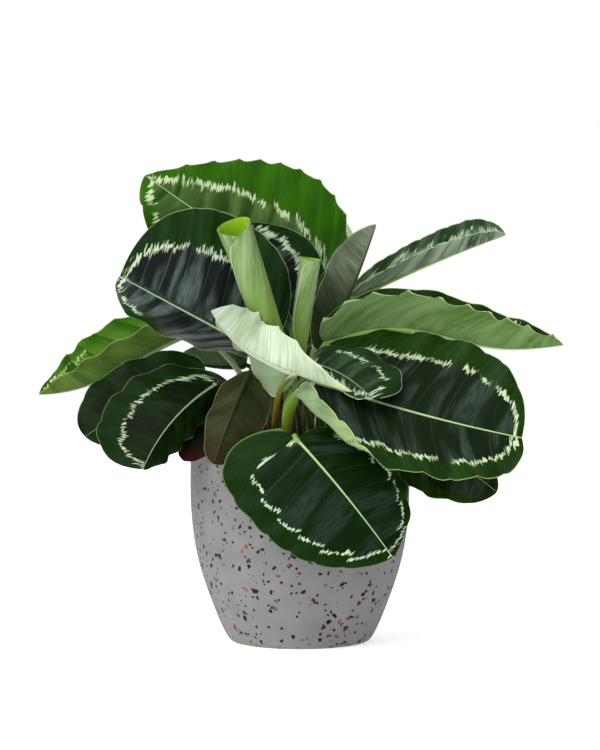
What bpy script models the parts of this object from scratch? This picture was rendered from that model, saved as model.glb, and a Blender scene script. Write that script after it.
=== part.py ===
"""A potted calathea: a broad-leaved house plant standing in a rounded terrazzo pot.

Lengths are written in millimetres and turned to metres by MM. +Z is up, the plant's front
looks along -Y, and the origin is the centre of the pot's foot, on the surface it stands on.
"""

import math
from typing import NamedTuple

import bpy
import numpy as np

MM = 0.001

# Pot
POT_HEIGHT = 150.0
POT_RADIUS = 85.0
FOOT_RADIUS = 51.0
WALL = 6.0
FLOOR = 9.0
RIM_ROUND = 2.5
POT_SIDES = 48

# Soil
SOIL_TOP = 132.0
SOIL_GAP = 0.3
SOIL_SIDES = 28
SOIL_RINGS = 5
SOIL_LUMP = 1.6
HOLE_DEPTH = 22.0
HOLE_CLEARANCE = 0.4
HOLE_SIDES = 8

# Leaves
BLADE = 0.9
STALK_RINGS = 6
NECK = 0.04
RIB_TAPER = 0.85
BASE_FULLNESS = 2.2
SECTION_STEPS = 48
FLAP_BEND = 0.2
FLAP_START = 0.1
ROLL_LAYERS = 1.8  # from one layer of a rolled leaf to the next
SHEATH_AT = 0.66  # the share of the stalk where its sheath is widest
SHEATH_REACH = 0.22
LAST_RING = 0.985
ROLL_END = 0.955

GREEN = (0.020, 0.110, 0.022)
DARK_GREEN = (0.010, 0.055, 0.014)
LIGHT_GREEN = (0.160, 0.330, 0.060)
PALE_GREEN = (0.420, 0.560, 0.330)
OLIVE = (0.070, 0.085, 0.030)


class Leaf(NamedTuple):
    """One leaf with its stalk. Pairs run left, right, seen from the stalk with the upper side up."""

    name: str
    root: tuple  # where the stalk leaves the soil, x and y
    base: tuple  # where the blade begins
    tip: tuple
    faces: tuple  # the way the upper side looks
    halves: tuple  # half widths of the blade
    arch: tuple = (0, 0, 0)  # how far the middle of the midrib leaves the straight line
    sway: tuple = (0, 0, 0)  # an S-bend of the midrib
    faces_tip: tuple = None  # the way the upper side looks at the tip, where it twists
    fold: tuple = (8, 8)  # degrees each half rises from the midrib
    fold_tip: tuple = None
    curl: tuple = (0, 0)  # degrees each half turns on towards its margin
    curl_tip: tuple = None
    flap: tuple = None  # right half turned over near the base: degrees, where, how far along
    lobe: tuple = (0.25, 0.25)  # how far each half reaches back past the stalk, in half widths
    shoulder: tuple = (0, 0)  # how far each half reaches on past the tip, in half widths
    tail: tuple = (0, 0)  # how far each half's corner hangs back past the stalk
    roll: tuple = None  # radius of a blade still rolled up, at its base and at its mouth
    wave: tuple = (2.0, 5)  # height and number of the waves along each margin
    widest: tuple = (0.42, 0.42)  # where along the midrib each half is widest
    point: tuple = (0.62, 0.62)  # 0.5 is a round tip, 0.9 a sharp one
    root_point: tuple = (0.5, 0.5)  # the same for the end at the stalk
    fullness: float = 2.2
    stalk: float = 1.9  # radius of the stalk where it meets the blade
    spread: float = 1.5  # how much thicker the stalk is at the soil
    sheath: float = 0.0  # how much thicker its sheath makes it below the blade
    knee: float = 1.0  # 0 runs the stalk straight into the midrib, more lets it bend there
    via: tuple = None  # a point the stalk's upper part is drawn towards
    rings: int = 14
    spans: int = 6
    colour: tuple = GREEN


LEAVES = (
    Leaf(
        name="leaf_top_back", root=(6, 20), base=(18, 48, 268), tip=(-122, 20, 362),
        faces=(0.10, -1, 0.15), halves=(64, 76), arch=(0, -5, -1), shoulder=(0.25, 0.05),
        widest=(0.37, 0.37), wave=(2.2, 6), point=(0.7, 0.95), fullness=1.6, lobe=(0.25, 0.17),
    ),
    Leaf(
        name="leaf_left_upper", root=(-20, -8), base=(-27, -14, 221), tip=(-135, -48, 279),
        faces=(0.05, -1, 0.10), halves=(46, 81), arch=(0, -4, 0), fold=(-58, 2), curl=(-15, 8),
        shoulder=(0.1, 0.15), root_point=(0.9, 0.5), widest=(0.65, 0.5), wave=(1.6, 4),
        point=(0.5, 0.5), fullness=2.4, colour=DARK_GREEN,
    ),
    Leaf(
        name="leaf_behind_roll", root=(-6, 10), base=(-6, 22, 223), tip=(-44, 18, 324),
        faces=(0.10, -1, 0.10), halves=(44, 47), fold=(6, 6), wave=(1.5, 4), widest=(0.5, 0.55),
        point=(0.8, 0.8), fullness=2.4, colour=DARK_GREEN,
    ),
    Leaf(
        name="leaf_upright_grey", root=(8, 4), base=(17, 4, 223), tip=(59, 0, 322),
        faces=(-0.92, -0.05, 0.40), halves=(26, 25), arch=(2, 0, 0), fold=(74, 76), wave=(1.2, 3),
        widest=(0.55, 0.55), point=(0.8, 0.8), colour=OLIVE,
    ),
    Leaf(
        name="leaf_right_rolled", root=(18, 16), base=(40, 35, 266), tip=(163, 30, 316),
        faces=(-0.15, -0.45, 0.88), halves=(24, 14), arch=(0, 0, 2), fold=(28, 50), curl=(30, 60),
        wave=(1.8, 5), widest=(0.75, 0.6), point=(0.5, 0.5), colour=DARK_GREEN,
    ),
    Leaf(
        name="leaf_right_light", root=(20, -12), base=(19, -21, 229), tip=(202, -16, 228),
        faces=(0, -0.25, 0.97), halves=(37, 31), arch=(0, 0, 6.2), sway=(0, 0, 7.5),
        fold=(46, 74), wave=(1.8, 5), root_point=(0.5, 0.35), widest=(0.42, 0.36),
        point=(0.7, 0.7), fullness=2.6, colour=LIGHT_GREEN,
    ),
    Leaf(
        name="leaf_right_dark", root=(-12, -44), base=(4, -60, 202), tip=(162, -84, 159),
        faces=(0.05, -0.64, 0.77), faces_tip=(0.05, -0.86, 0.52), halves=(74, 60),
        arch=(0, 3, -3), fold=(6, 4), lobe=(0, 0.25), root_point=(0.35, 0.3),
        flap=(155, 0.5, 0.5), shoulder=(0, 0.45), widest=(0.5, 0.3), wave=(2.2, 5), spans=12,
        rings=16, point=(0.46, 0.45), stalk=2.1, spread=1.6, via=(-9, -54, 192), sheath=0.9,
    ),
    Leaf(
        name="leaf_front", root=(4, -54), base=(-3, -93, 159), tip=(66, -113, 75),
        faces=(-0.05, -1, 0.25), halves=(50, 64), arch=(0, -6, 3), fold=(-18, 4), curl=(-20, -10),
        lobe=(0.15, 0.75), tail=(0, 12), widest=(0.55, 0.3), wave=(1.6, 6), point=(0.62, 0.62),
        fullness=2.1,
    ),
    Leaf(
        name="leaf_left_front", root=(-38, -37), base=(-60, -42, 200), tip=(-115, -82, 136),
        faces=(-0.20, -0.90, 0.50), halves=(24, 54), arch=(-5, -8, 5), fold=(-62, 2),
        curl=(-20, -10), shoulder=(0, 0.35), widest=(0.5, 0.6), wave=(1.8, 5), point=(0.55, 0.55),
        colour=DARK_GREEN,
    ),
    Leaf(
        name="leaf_left_behind", root=(-37, -9), base=(-72, -16, 207), tip=(-163, -30, 158),
        faces=(-0.30, -0.80, 0.55), halves=(40, 38), arch=(-2, 0, 3), shoulder=(0, 0.25),
        wave=(1.8, 4), widest=(0.5, 0.55), rings=11, colour=DARK_GREEN,
    ),
    Leaf(
        name="leaf_left_folded", root=(-28, 8), base=(-85, 22, 240), tip=(-203, 2, 190),
        faces=(-0.30, -0.30, 0.90), halves=(25, 42), arch=(0, 0, -7), sway=(0, 0, 2.5),
        fold=(68, 42), wave=(2.2, 5), point=(0.8, 0.8), knee=3.0, colour=LIGHT_GREEN,
    ),
    Leaf(
        name="leaf_left_small", root=(-18, 22), base=(-43, 48, 213), tip=(-98, 58, 218),
        faces=(0, -0.20, 0.98), halves=(24, 26), fold=(55, 40), arch=(0, 0, -3), wave=(1.0, 3),
        rings=9, colour=OLIVE,
    ),
    Leaf(
        name="leaf_left_olive", root=(-28, -26), base=(-37, -41, 208), tip=(-63, -86, 140),
        faces=(0.15, 1, -0.10), halves=(20, 26), fold=(20, 20), wave=(1.4, 3), arch=(0, -3, 3),
        rings=10, colour=OLIVE,
    ),
    Leaf(
        name="leaf_left_maroon", root=(-46, -20), base=(-56, -21, 196), tip=(-86, -59, 141),
        faces=(-0.30, -0.80, 0.30), halves=(20, 18), fold=(-10, -10), wave=(1.0, 3), rings=9,
        colour=OLIVE,
    ),
    Leaf(
        name="leaf_right_under", root=(34, -20), base=(68, -43, 168), tip=(146, -61, 118),
        faces=(0.20, -0.80, 0.50), halves=(30, 45), arch=(0, -5, 3), wave=(1.6, 4), lobe=(0.2, 0),
        widest=(0.42, 0.34), rings=11, colour=DARK_GREEN, root_point=(0.5, 0.35),
    ),
    Leaf(
        name="leaf_young_right", root=(12, -28), base=(8, -54, 214), tip=(53, -86, 187),
        faces=(0.10, -0.70, 0.70), halves=(40, 11), arch=(2, 4, 4), lobe=(0.25, 0),
        shoulder=(0.1, 0), fold=(25, -30), curl=(-60, 0), widest=(0.6, 0.6), wave=(1.6, 3),
        rings=13, spans=8, point=(0.3, 0.8),
    ),
    Leaf(
        name="leaf_pale_centre", root=(-20, -42), base=(-2, -76, 205), tip=(-65, -80, 252),
        faces=(0, 1, 0), halves=(34, 36), arch=(-4, 0, -6.6), sway=(0, 0, 1), fold=(-32, 42),
        fold_tip=(40, 85), lobe=(0, 0), tail=(50, 0), root_point=(1.0, 0.5), widest=(0.68, 0.3),
        wave=(1.8, 4), point=(0.55, 1.0), stalk=1.7, via=(-19, -94, 203), spans=8,
        colour=PALE_GREEN,
    ),
    Leaf(
        name="leaf_roll_tall", root=(-12, -24), base=(-12, -26, 212), tip=(-53, -56, 326),
        faces=(0, -1, 0), halves=(50, 50), roll=(7, 13), fold=(0, 0), lobe=(0, 0), wave=(0, 1),
        widest=(0.62, 0.62), point=(0.5, 0.5), fullness=10.0, shoulder=(-0.3, -0.3),
        root_point=(0.8, 0.8), spans=18, rings=13, colour=LIGHT_GREEN,
    ),
    Leaf(
        name="leaf_roll_short", root=(2, -14), base=(-5, -14.5, 206), tip=(8.6, -22, 299),
        faces=(0, -1, 0), halves=(30, 30), roll=(6.5, 7.8), fold=(0, 0), lobe=(0, 0), wave=(0, 1),
        widest=(0.55, 0.55), point=(0.5, 0.5), fullness=10.0, shoulder=(-0.1, -0.1),
        root_point=(0.8, 0.8), spans=14, rings=11, colour=LIGHT_GREEN,
    ),
    Leaf(
        name="leaf_narrow", root=(-12, 0), base=(-5, 1, 224), tip=(-20, -4, 290),
        faces=(0.3, -1, 0), faces_tip=(-1, -0.6, 0), halves=(6, 6), fold=(35, 35), wave=(0.5, 2),
        lobe=(0, 0), rings=9, stalk=1.3, point=(0.7, 0.7),
    ),
    Leaf(
        name="leaf_rear_light", root=(14, 30), base=(26, 66, 266), tip=(27, 96, 340),
        faces=(0, 1, -0.20), halves=(22, 22), wave=(1.2, 3), rings=9, colour=LIGHT_GREEN,
    ),
    Leaf(
        name="leaf_back_right", root=(30, 26), base=(46, 66, 238), tip=(112, 138, 228),
        faces=(0.20, -0.30, 1), halves=(42, 42), arch=(0, 0, 10), wave=(2.0, 4), rings=11,
    ),
    Leaf(
        name="leaf_back_left", root=(-26, 30), base=(-22, 66, 236), tip=(-88, 140, 262),
        faces=(-0.10, 0.30, 0.90), halves=(40, 40), arch=(0, 0, 6), wave=(2.0, 4), rings=11,
    ),
    Leaf(
        name="leaf_back_centre", root=(2, 38), base=(12, 84, 228), tip=(14, 172, 132),
        faces=(0.10, 0.60, 0.80), halves=(54, 54), arch=(0, 4, 16), wave=(2.0, 4), rings=11,
    ),
)


def unit(vectors):
    """Vectors scaled to length 1, along the last axis."""
    return vectors / np.linalg.norm(vectors, axis=-1, keepdims=True)


def smooth(x):
    """0 below 0, 1 above 1, and a smooth step between."""
    x = np.clip(x, 0.0, 1.0)
    return x * x * (3.0 - 2.0 * x)


def midrib(leaf, t):
    """Points and directions along the midrib at the fractions t."""
    base, tip = np.array(leaf.base, float), np.array(leaf.tip, float)
    arch, sway = np.array(leaf.arch, float), np.array(leaf.sway, float)
    t = np.asarray(t, float)[:, None]
    turn = 2.0 * math.pi
    points = base + (tip - base) * t + arch * 4.0 * t * (1.0 - t) + sway * np.sin(turn * t)
    along = (tip - base) + arch * 4.0 * (1.0 - 2.0 * t) + sway * turn * np.cos(turn * t)
    return points, unit(along)


def outline(leaf, t, side):
    """How wide a half of the blade is at t, as a share of its widest."""
    widest = np.array(leaf.widest)[side]
    towards_base = np.clip((widest - t) / widest, 0.0, 1.0)
    towards_tip = np.clip((t - widest) / (1.0 - widest), 0.0, 1.0)
    at_base = (1.0 - towards_base**BASE_FULLNESS) ** leaf.root_point[side]
    at_tip = (1.0 - towards_tip**leaf.fullness) ** leaf.point[side]
    return np.where(t < widest, at_base, at_tip)


def eased(start, end, t):
    """A pair of angles in radians that goes from start at the base to end at the tip."""
    start = np.radians(start)
    end = start if end is None else np.radians(end)
    return start + (end - start) * smooth(np.asarray(t)[:, None] / 0.55)


def cross_section(leaf, t, side, width):
    """A half blade's section at each t: distances out and up, and its slope, from midrib to margin."""
    reach = np.linspace(0.0, 1.0, SECTION_STEPS + 1)[None, :]
    slope = eased(leaf.fold, leaf.fold_tip, t)[:, side, None] + reach * (
        eased(leaf.curl, leaf.curl_tip, t)[:, side, None]
    )
    if leaf.roll:
        radius = leaf.roll[0] + (leaf.roll[1] - leaf.roll[0]) * t[:, None]
        inward = 2 * side - 1
        wound = np.sqrt(radius**2 + inward * ROLL_LAYERS * reach * width[:, None] / math.pi)
        slope = inward * (wound - radius) * 2.0 * math.pi / ROLL_LAYERS
    if leaf.flap and side == 1:
        angle, where, along = leaf.flap
        line = where + (1.0 - where) * (t[:, None] / along) ** 1.2
        turned_over = math.radians(angle) * smooth(t / FLAP_START)[:, None]
        slope = slope + turned_over * smooth((reach - line) / FLAP_BEND)
    middle = 0.5 * (slope[:, 1:] + slope[:, :-1])
    step = width[:, None] / SECTION_STEPS
    still = np.zeros((len(t), 1))
    out = np.hstack([still, np.cumsum(np.cos(middle) * step, axis=1)])
    up = np.hstack([still, np.cumsum(np.sin(middle) * step, axis=1)])
    return out, up, slope


def blade(leaf, t, v):
    """Middle surface and normals of the blade at every t and v, where v runs -1 to 1 across it."""
    t = np.asarray(t, float)
    centre, along = midrib(leaf, t)
    facing = np.array(leaf.faces, float)
    facing_tip = facing if leaf.faces_tip is None else np.array(leaf.faces_tip, float)
    facing = facing + (facing_tip - facing) * t[:, None]
    normal = unit(facing - (facing * along).sum(-1, keepdims=True) * along)
    across = np.cross(along, normal)

    points = np.zeros((len(t), len(v), 3))
    local = np.zeros((len(t), len(v), 3))
    grid = np.linspace(0.0, 1.0, SECTION_STEPS + 1)
    height, count = leaf.wave
    for side, sign in ((0, -1.0), (1, 1.0)):
        columns = np.nonzero(v > 0 if side else v <= 0)[0]
        reach = np.abs(v[columns])
        share = outline(leaf, t, side)
        width = share * leaf.halves[side]
        out, up, slope = (
            np.array([np.interp(reach, grid, row) for row in values])
            for values in cross_section(leaf, t, side, width)
        )
        back = (leaf.lobe[side] * (1.0 - t) ** 3 - leaf.shoulder[side] * t**3) * width
        back = (back + leaf.tail[side] * (1.0 - t) ** 5)[:, None] * reach**2
        phase = 2.0 * math.pi * count * t + 1.9 * side
        ripple = height * (np.sin(phase) * smooth(4.0 * share))[:, None] * reach**3
        outward = sign * across[:, None, :]
        rise = normal[:, None, :]
        away = np.cos(slope)[..., None] * rise - np.sin(slope)[..., None] * outward
        local[:, columns] = away
        points[:, columns] = (
            centre[:, None, :]
            + out[..., None] * outward
            + up[..., None] * rise
            - back[..., None] * along[:, None, :]
            + ripple[..., None] * away
        )
    if not leaf.roll:
        fold = eased(leaf.fold, leaf.fold_tip, t)
        rise = np.cos(fold).sum(axis=1)[:, None] * normal
        lean = (np.sin(fold[:, 0]) - np.sin(fold[:, 1]))[:, None] * across
        local[:, np.abs(v) < 1e-6] = unit(rise + lean)[:, None, :]
    return points, local


def stalk_path(leaf):
    """Centres and directions of the stalk's rings, from the foot of its hole up to the blade."""
    foot = np.array([*leaf.root, SOIL_TOP - HOLE_DEPTH + 1.0])
    start = np.array([*leaf.root, SOIL_TOP + 3.0])
    end = np.array(leaf.base, float)
    _, arriving = midrib(leaf, [0.0])
    reach = np.linalg.norm(end - start)
    lift = start + np.array([0.0, 0.0, 0.45 * reach])
    heading = unit(arriving[0] + leaf.knee * unit(end - lift))
    approach = end - heading * 0.3 * reach
    if leaf.via:
        approach = np.array(leaf.via, float)
    s = np.linspace(0.0, 1.0, STALK_RINGS)[:-1, None]
    points = (
        (1 - s) ** 3 * start
        + 3 * (1 - s) ** 2 * s * lift
        + 3 * (1 - s) * s**2 * approach
        + s**3 * end
    )
    slopes = 3 * (
        (1 - s) ** 2 * (lift - start)
        + 2 * (1 - s) * s * (approach - lift)
        + s**2 * (end - approach)
    )
    return np.vstack([foot, points]), unit(np.vstack([[0.0, 0.0, 1.0], slopes]))


def circle(normal, along, v, radius):
    """The stalk's ring, in the order of a blade's loop: over the upper side, back along the lower."""
    side = np.cross(along, normal)
    angle = math.pi * (1.0 - (v + 1.0) / 2.0)
    upper = np.cos(angle)[:, None] * side + np.sin(angle)[:, None] * normal
    lower = np.cos(angle)[:, None] * side - np.sin(angle)[:, None] * normal
    return radius * np.vstack([upper, lower[::-1]])


def leaf_loops(leaf):
    """Every cross-section of the leaf from the foot of its stalk to just short of the tip.

    The rings lie closer together where the outline curves in, at the base and the tip.
    """
    v = np.linspace(-1.0, 1.0, leaf.spans + 1)
    s = np.linspace(0.0, 1.0, leaf.rings)
    last = ROLL_END if leaf.roll else LAST_RING
    t = last * (0.5 * s + 0.5 * (1.0 - np.cos(math.pi * s)) / 2.0)
    middle, local = blade(leaf, t, v)
    centre, along = midrib(leaf, t)
    normal = local[:, leaf.spans // 2, :]
    normal = unit(normal - (normal * along).sum(-1, keepdims=True) * along)

    half = 0.5 * BLADE * (1.0 - 0.3 * v**2)
    rib = np.where(np.abs(v) < 1e-6, leaf.stalk, 0.0)[None, :] * (1.0 - RIB_TAPER * t)[:, None]
    upper = middle + half[None, :, None] * local
    lower = middle - (half[None, :] + rib)[..., None] * local
    loops = []
    for i in range(len(t)):
        flat = np.vstack([upper[i], lower[i][::-1]]) - centre[i]
        ring = circle(normal[i], along[i], v, leaf.stalk)
        share = float(smooth(t[i] / NECK))
        loops.append(centre[i] + ring * (1.0 - share) + flat * share)

    points, directions = stalk_path(leaf)
    heading = normal[0]
    below = []
    for i in range(len(points) - 1, -1, -1):
        heading = heading - heading.dot(directions[i]) * directions[i]
        heading = heading / np.linalg.norm(heading)
        share = i / len(points)
        radius = leaf.stalk * (leaf.spread + (1.0 - leaf.spread) * share)
        radius *= 1.0 + leaf.sheath * math.exp(-(((share - SHEATH_AT) / SHEATH_REACH) ** 2))
        below.append(points[i] + circle(heading, directions[i], v, radius))
    return below[::-1] + loops


def leaf_triangles(rings, spans, rolled):
    """Triangles between the loops, cut along the same diagonal on both sides of the blade.

    A blade ends in a point, and a rolled one in its open mouth.
    """
    around = 2 * (spans + 1)
    faces = []
    for i in range(rings - 1):
        for k in range(around):
            a, b = i * around + k, i * around + (k + 1) % around
            c, d = b + around, a + around
            if k < spans:
                faces += [(a, b, c), (a, c, d)]
            else:
                faces += [(a, b, d), (b, c, d)]
    foot, apex = rings * around, rings * around + 1
    last = (rings - 1) * around
    for k in range(around):
        after = (k + 1) % around
        faces.append((foot, after, k))
        if not rolled:
            faces.append((last + k, last + after, apex))
        elif k < spans:
            under = last + around - 2 - k
            faces += [(last + k, last + k + 1, under), (last + k, under, under + 1)]
    return faces


def material(name, colour, roughness, metallic=0.0):
    """A plain finish."""
    made = bpy.data.materials.new(name)
    made.use_nodes = True
    shader = made.node_tree.nodes["Principled BSDF"]
    shader.inputs["Base Color"].default_value = (*colour, 1.0)
    shader.inputs["Roughness"].default_value = roughness
    shader.inputs["Metallic"].default_value = metallic
    return made


def add_object(name, points, faces, finish):
    """A smooth-shaded object from points in millimetres."""
    mesh = bpy.data.meshes.new(name)
    mesh.from_pydata([tuple(p) for p in np.asarray(points) * MM], [], faces)
    mesh.materials.append(finish)
    mesh.shade_smooth()
    made = bpy.data.objects.new(name, mesh)
    bpy.context.scene.collection.objects.link(made)
    return made


def make_leaf(leaf):
    """One leaf: stalk, midrib and blade in one skin."""
    loops = leaf_loops(leaf)
    foot = loops[0].mean(axis=0)
    ends = foot[None, :] if leaf.roll else np.vstack([foot, midrib(leaf, [1.0])[0]])
    points = np.vstack([*loops, ends])
    faces = leaf_triangles(len(loops), leaf.spans, bool(leaf.roll))
    add_object(leaf.name, points, faces, material(leaf.name, leaf.colour, 0.4))


def pot_outside():
    """The outer profile from the foot up, as (radius, height)."""
    return (
        (FOOT_RADIUS, 0.0),
        (FOOT_RADIUS + 3.2, 1.2),
        (FOOT_RADIUS + 6.6, 6.0),
        (FOOT_RADIUS + 11.5, 16.0),
        (FOOT_RADIUS + 17.5, 31.0),
        (FOOT_RADIUS + 23.6, 48.0),
        (FOOT_RADIUS + 28.6, 66.0),
        (FOOT_RADIUS + 32.0, 86.0),
        (POT_RADIUS - 0.4, 106.0),
        (POT_RADIUS, 124.0),
        (POT_RADIUS - 0.4, POT_HEIGHT - RIM_ROUND - 1.0),
        (POT_RADIUS - 1.2, POT_HEIGHT - 0.7),
    )


def pot_inside():
    """The inner profile from the rim down, as (radius, height), a wall's thickness in."""
    return (
        (POT_RADIUS - RIM_ROUND, POT_HEIGHT),
        (POT_RADIUS - WALL + 1.6, POT_HEIGHT),
        (POT_RADIUS - WALL - 0.2, POT_HEIGHT - RIM_ROUND),
        (POT_RADIUS - WALL, 124.0),
        (POT_RADIUS - WALL - 2.2, 86.0),
        (FOOT_RADIUS + 17.2, 48.0),
        (FOOT_RADIUS + 5.0, 20.0),
        (FOOT_RADIUS - 6.0, FLOOR),
    )


def turned(profile, sides):
    """A profile that starts and ends near the axis, turned into a closed skin with two centre points."""
    angles = 2.0 * math.pi * np.arange(sides) / sides
    rings = [
        np.column_stack([r * np.cos(angles), r * np.sin(angles), np.full(sides, z)])
        for r, z in profile
    ]
    points = np.vstack([*rings, [[0.0, 0.0, profile[0][1]], [0.0, 0.0, profile[-1][1]]]])
    faces = []
    for i in range(len(profile) - 1):
        for k in range(sides):
            after = (k + 1) % sides
            low, high = i * sides, (i + 1) * sides
            faces.append((low + k, low + after, high + after, high + k))
    bottom, top = len(profile) * sides, len(profile) * sides + 1
    last = (len(profile) - 1) * sides
    for k in range(sides):
        after = (k + 1) % sides
        faces.append((bottom, after, k))
        faces.append((top, last + k, last + after))
    return points, faces


def make_pot():
    """The pot: a rounded shell on a flat foot."""
    points, faces = turned(pot_outside() + pot_inside(), POT_SIDES)
    add_object("pot", points, faces, material("terrazzo", (0.42, 0.42, 0.42), 0.7))


def make_soil():
    """The potting soil: it fills the pot to under the rim, with a plain hole for each stalk."""
    wall = [(r - SOIL_GAP - 0.5, z) for r, z in reversed(pot_inside()) if z < SOIL_TOP]
    wall[0] = (wall[0][0], FLOOR + SOIL_GAP)
    edge = POT_RADIUS - WALL - SOIL_GAP - 0.6
    top = [(edge * (1.0 - i / SOIL_RINGS), SOIL_TOP) for i in range(SOIL_RINGS)]
    points, faces = turned(wall + top, SOIL_SIDES)
    flat = np.isclose(points[:, 2], SOIL_TOP)
    x, y = points[:, 0], points[:, 1]
    lumps = SOIL_LUMP * np.sin(0.16 * x + 1.0) * np.sin(0.19 * y) * (np.hypot(x, y) < 0.95 * edge)
    points[:, 2] += np.where(flat, lumps, 0.0)
    soil = add_object("soil", points, faces, material("soil", (0.035, 0.022, 0.015), 0.95))

    holes = bpy.data.collections.new("stalk holes")
    bpy.context.scene.collection.children.link(holes)
    for leaf in LEAVES:
        radius = (leaf.stalk * leaf.spread + HOLE_CLEARANCE) / math.cos(math.pi / HOLE_SIDES)
        profile = ((radius, SOIL_TOP - HOLE_DEPTH), (radius, SOIL_TOP + 8.0))
        points, faces = turned(profile, HOLE_SIDES)
        points[:, :2] += leaf.root
        cutter = add_object("hole_" + leaf.name, points, faces, soil.data.materials[0])
        bpy.context.scene.collection.objects.unlink(cutter)
        holes.objects.link(cutter)
        cutter.hide_render = True
        cutter.display_type = "WIRE"
    drill = soil.modifiers.new("stalk holes", "BOOLEAN")
    drill.operation = "DIFFERENCE"
    drill.operand_type = "COLLECTION"
    drill.collection = holes
    drill.solver = "EXACT"


def main():
    for old in list(bpy.data.objects):
        bpy.data.objects.remove(old)
    make_pot()
    make_soil()
    for leaf in LEAVES:
        make_leaf(leaf)


main()
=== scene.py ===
"""A potted calathea in a terrazzo pot, dressed for the studio.

Lengths are in millimetres until a mesh is made, and finishes work in millimetres too: each leaf
carries its flattened measures as mesh attributes, so that veins, strokes and the pale ring keep
their real size however the leaf bends.
"""

import logging
import math
from dataclasses import dataclass, field
from enum import Enum

import bmesh
import bpy
import numpy as np
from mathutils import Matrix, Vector, noise


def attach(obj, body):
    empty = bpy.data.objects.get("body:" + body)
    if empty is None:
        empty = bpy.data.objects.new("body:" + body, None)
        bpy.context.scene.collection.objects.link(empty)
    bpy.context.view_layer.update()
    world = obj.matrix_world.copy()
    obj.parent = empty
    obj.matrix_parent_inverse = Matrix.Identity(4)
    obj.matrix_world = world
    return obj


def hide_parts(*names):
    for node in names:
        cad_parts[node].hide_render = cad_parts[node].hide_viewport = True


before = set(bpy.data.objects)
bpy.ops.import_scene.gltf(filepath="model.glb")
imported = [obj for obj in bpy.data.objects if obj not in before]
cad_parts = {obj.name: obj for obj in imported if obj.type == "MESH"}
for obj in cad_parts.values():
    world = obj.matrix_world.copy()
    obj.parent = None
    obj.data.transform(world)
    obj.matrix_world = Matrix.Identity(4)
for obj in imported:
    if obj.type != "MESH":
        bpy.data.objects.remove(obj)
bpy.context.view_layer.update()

log = logging.getLogger("calathea")

MM = 0.001
BODY = "root"

# The Mix node's sockets for colours
MIX_FACTOR, MIX_A, MIX_B, MIX_RESULT = 0, 6, 7, 2

Point = tuple[float, float, float]
Pair = tuple[float, float]
Tree = bpy.types.NodeTree
Socket = bpy.types.NodeSocket


def linear(hex_colour: str) -> tuple[float, float, float, float]:
    """Turns an sRGB hex colour to linear.

    Args:
        hex_colour: Six hex digits after a #.

    Returns:
        Red, green, blue and an alpha of 1.
    """
    channels = [int(hex_colour[i : i + 2], 16) / 255 for i in (1, 3, 5)]
    low = [c / 12.92 if c <= 0.04045 else ((c + 0.055) / 1.055) ** 2.4 for c in channels]
    return (*low, 1.0)


def in_scene(name: str, data: bpy.types.ID) -> bpy.types.Object:
    """Makes an object of its data and puts it in the scene."""
    made = bpy.data.objects.new(name, data)
    bpy.context.scene.collection.objects.link(made)
    return made


def feed(node: bpy.types.Node, inputs: dict) -> None:
    """Sets or links a node's inputs.

    Args:
        node: The node.
        inputs: Socket name or number to a value, or to the output that feeds it.
    """
    for socket, value in inputs.items():
        if isinstance(value, Socket):
            node.id_data.links.new(value, node.inputs[socket])
        else:
            node.inputs[socket].default_value = value


def add_node(tree: Tree, kind: str, inputs: dict, give: int | str = 0, **settings: object) -> Socket:
    """Adds a shader node with its settings, values and links.

    Args:
        tree: The node tree that gets the node.
        kind: The node's type without its ShaderNode prefix.
        inputs: Socket name or number to a value, or to the output that feeds it.
        give: The name or number of the output that is wanted.
        settings: The node's own settings.

    Returns:
        That output. Its node has the others.
    """
    made = tree.nodes.new("ShaderNode" + kind)
    for name, value in settings.items():
        setattr(made, name, value)
    feed(made, inputs)
    return made.outputs[give]


def measured(tree: Tree, name: str) -> list[Socket]:
    """Reads one of the leaf's measures: the whole vector, then its three parts."""
    vector = add_node(tree, "Attribute", {}, "Vector", attribute_name=name)
    return [vector, *add_node(tree, "SeparateXYZ", {0: vector}).node.outputs]


def streaks(tree: Tree, place: Socket, across: float, length: float, detail: float = 2.0) -> Socket:
    """Makes soft streaks along a leaf's side veins or a stalk.

    Args:
        tree: The finish's node tree.
        place: The measure they lie in.
        across: How many lie in one unit across.
        length: How many mm long they are.
        detail: How finely they break up.

    Returns:
        Their strength, from 0 to 1.
    """
    stretch = {0: place, 1: (across, 1.0 / length, 1.0)}
    stretched = add_node(tree, "VectorMath", stretch, operation="MULTIPLY")
    return add_node(tree, "TexNoise", {"Vector": stretched, "Scale": 1.0, "Detail": detail})


def grains(tree: Tree, size: float, detail: float, give: str = "Fac") -> Socket:
    """Makes grains that lie evenly all ways.

    Args:
        tree: The finish's node tree.
        size: Their size in mm.
        detail: How finely they break up.
        give: Fac for their strength, Color for three different strengths.

    Returns:
        Their strength, from 0 to 1.
    """
    place = add_node(tree, "TexCoord", {}, "Object")
    inputs = {"Vector": place, "Scale": 1.0 / (size * MM), "Detail": detail}
    return add_node(tree, "TexNoise", inputs, give)


def layered(tree: Tree, base: str | Socket, *layers: tuple, blend: str = "SMOOTHSTEP") -> Socket:
    """Lays colours over one another.

    Args:
        tree: The finish's node tree.
        base: The lowest colour.
        layers: Each has its colour, its greatest strength, and any number of limits: a source,
            where on it the colour starts to show, and where it shows in full.
        blend: How a colour comes in between those two.

    Returns:
        The finished colour.
    """
    colour = linear(base) if isinstance(base, str) else base
    for over, strength, *limits in layers:
        if not over or not strength:
            continue
        for source, start, full in limits:
            inputs = {"Value": source, "From Min": start, "From Max": full, "To Max": strength}
            strength = add_node(tree, "MapRange", inputs, interpolation_type=blend)
        over = linear(over) if isinstance(over, str) else over
        inputs = {MIX_FACTOR: strength, MIX_A: colour, MIX_B: over}
        colour = add_node(tree, "Mix", inputs, MIX_RESULT, data_type="RGBA")
    return colour


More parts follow.
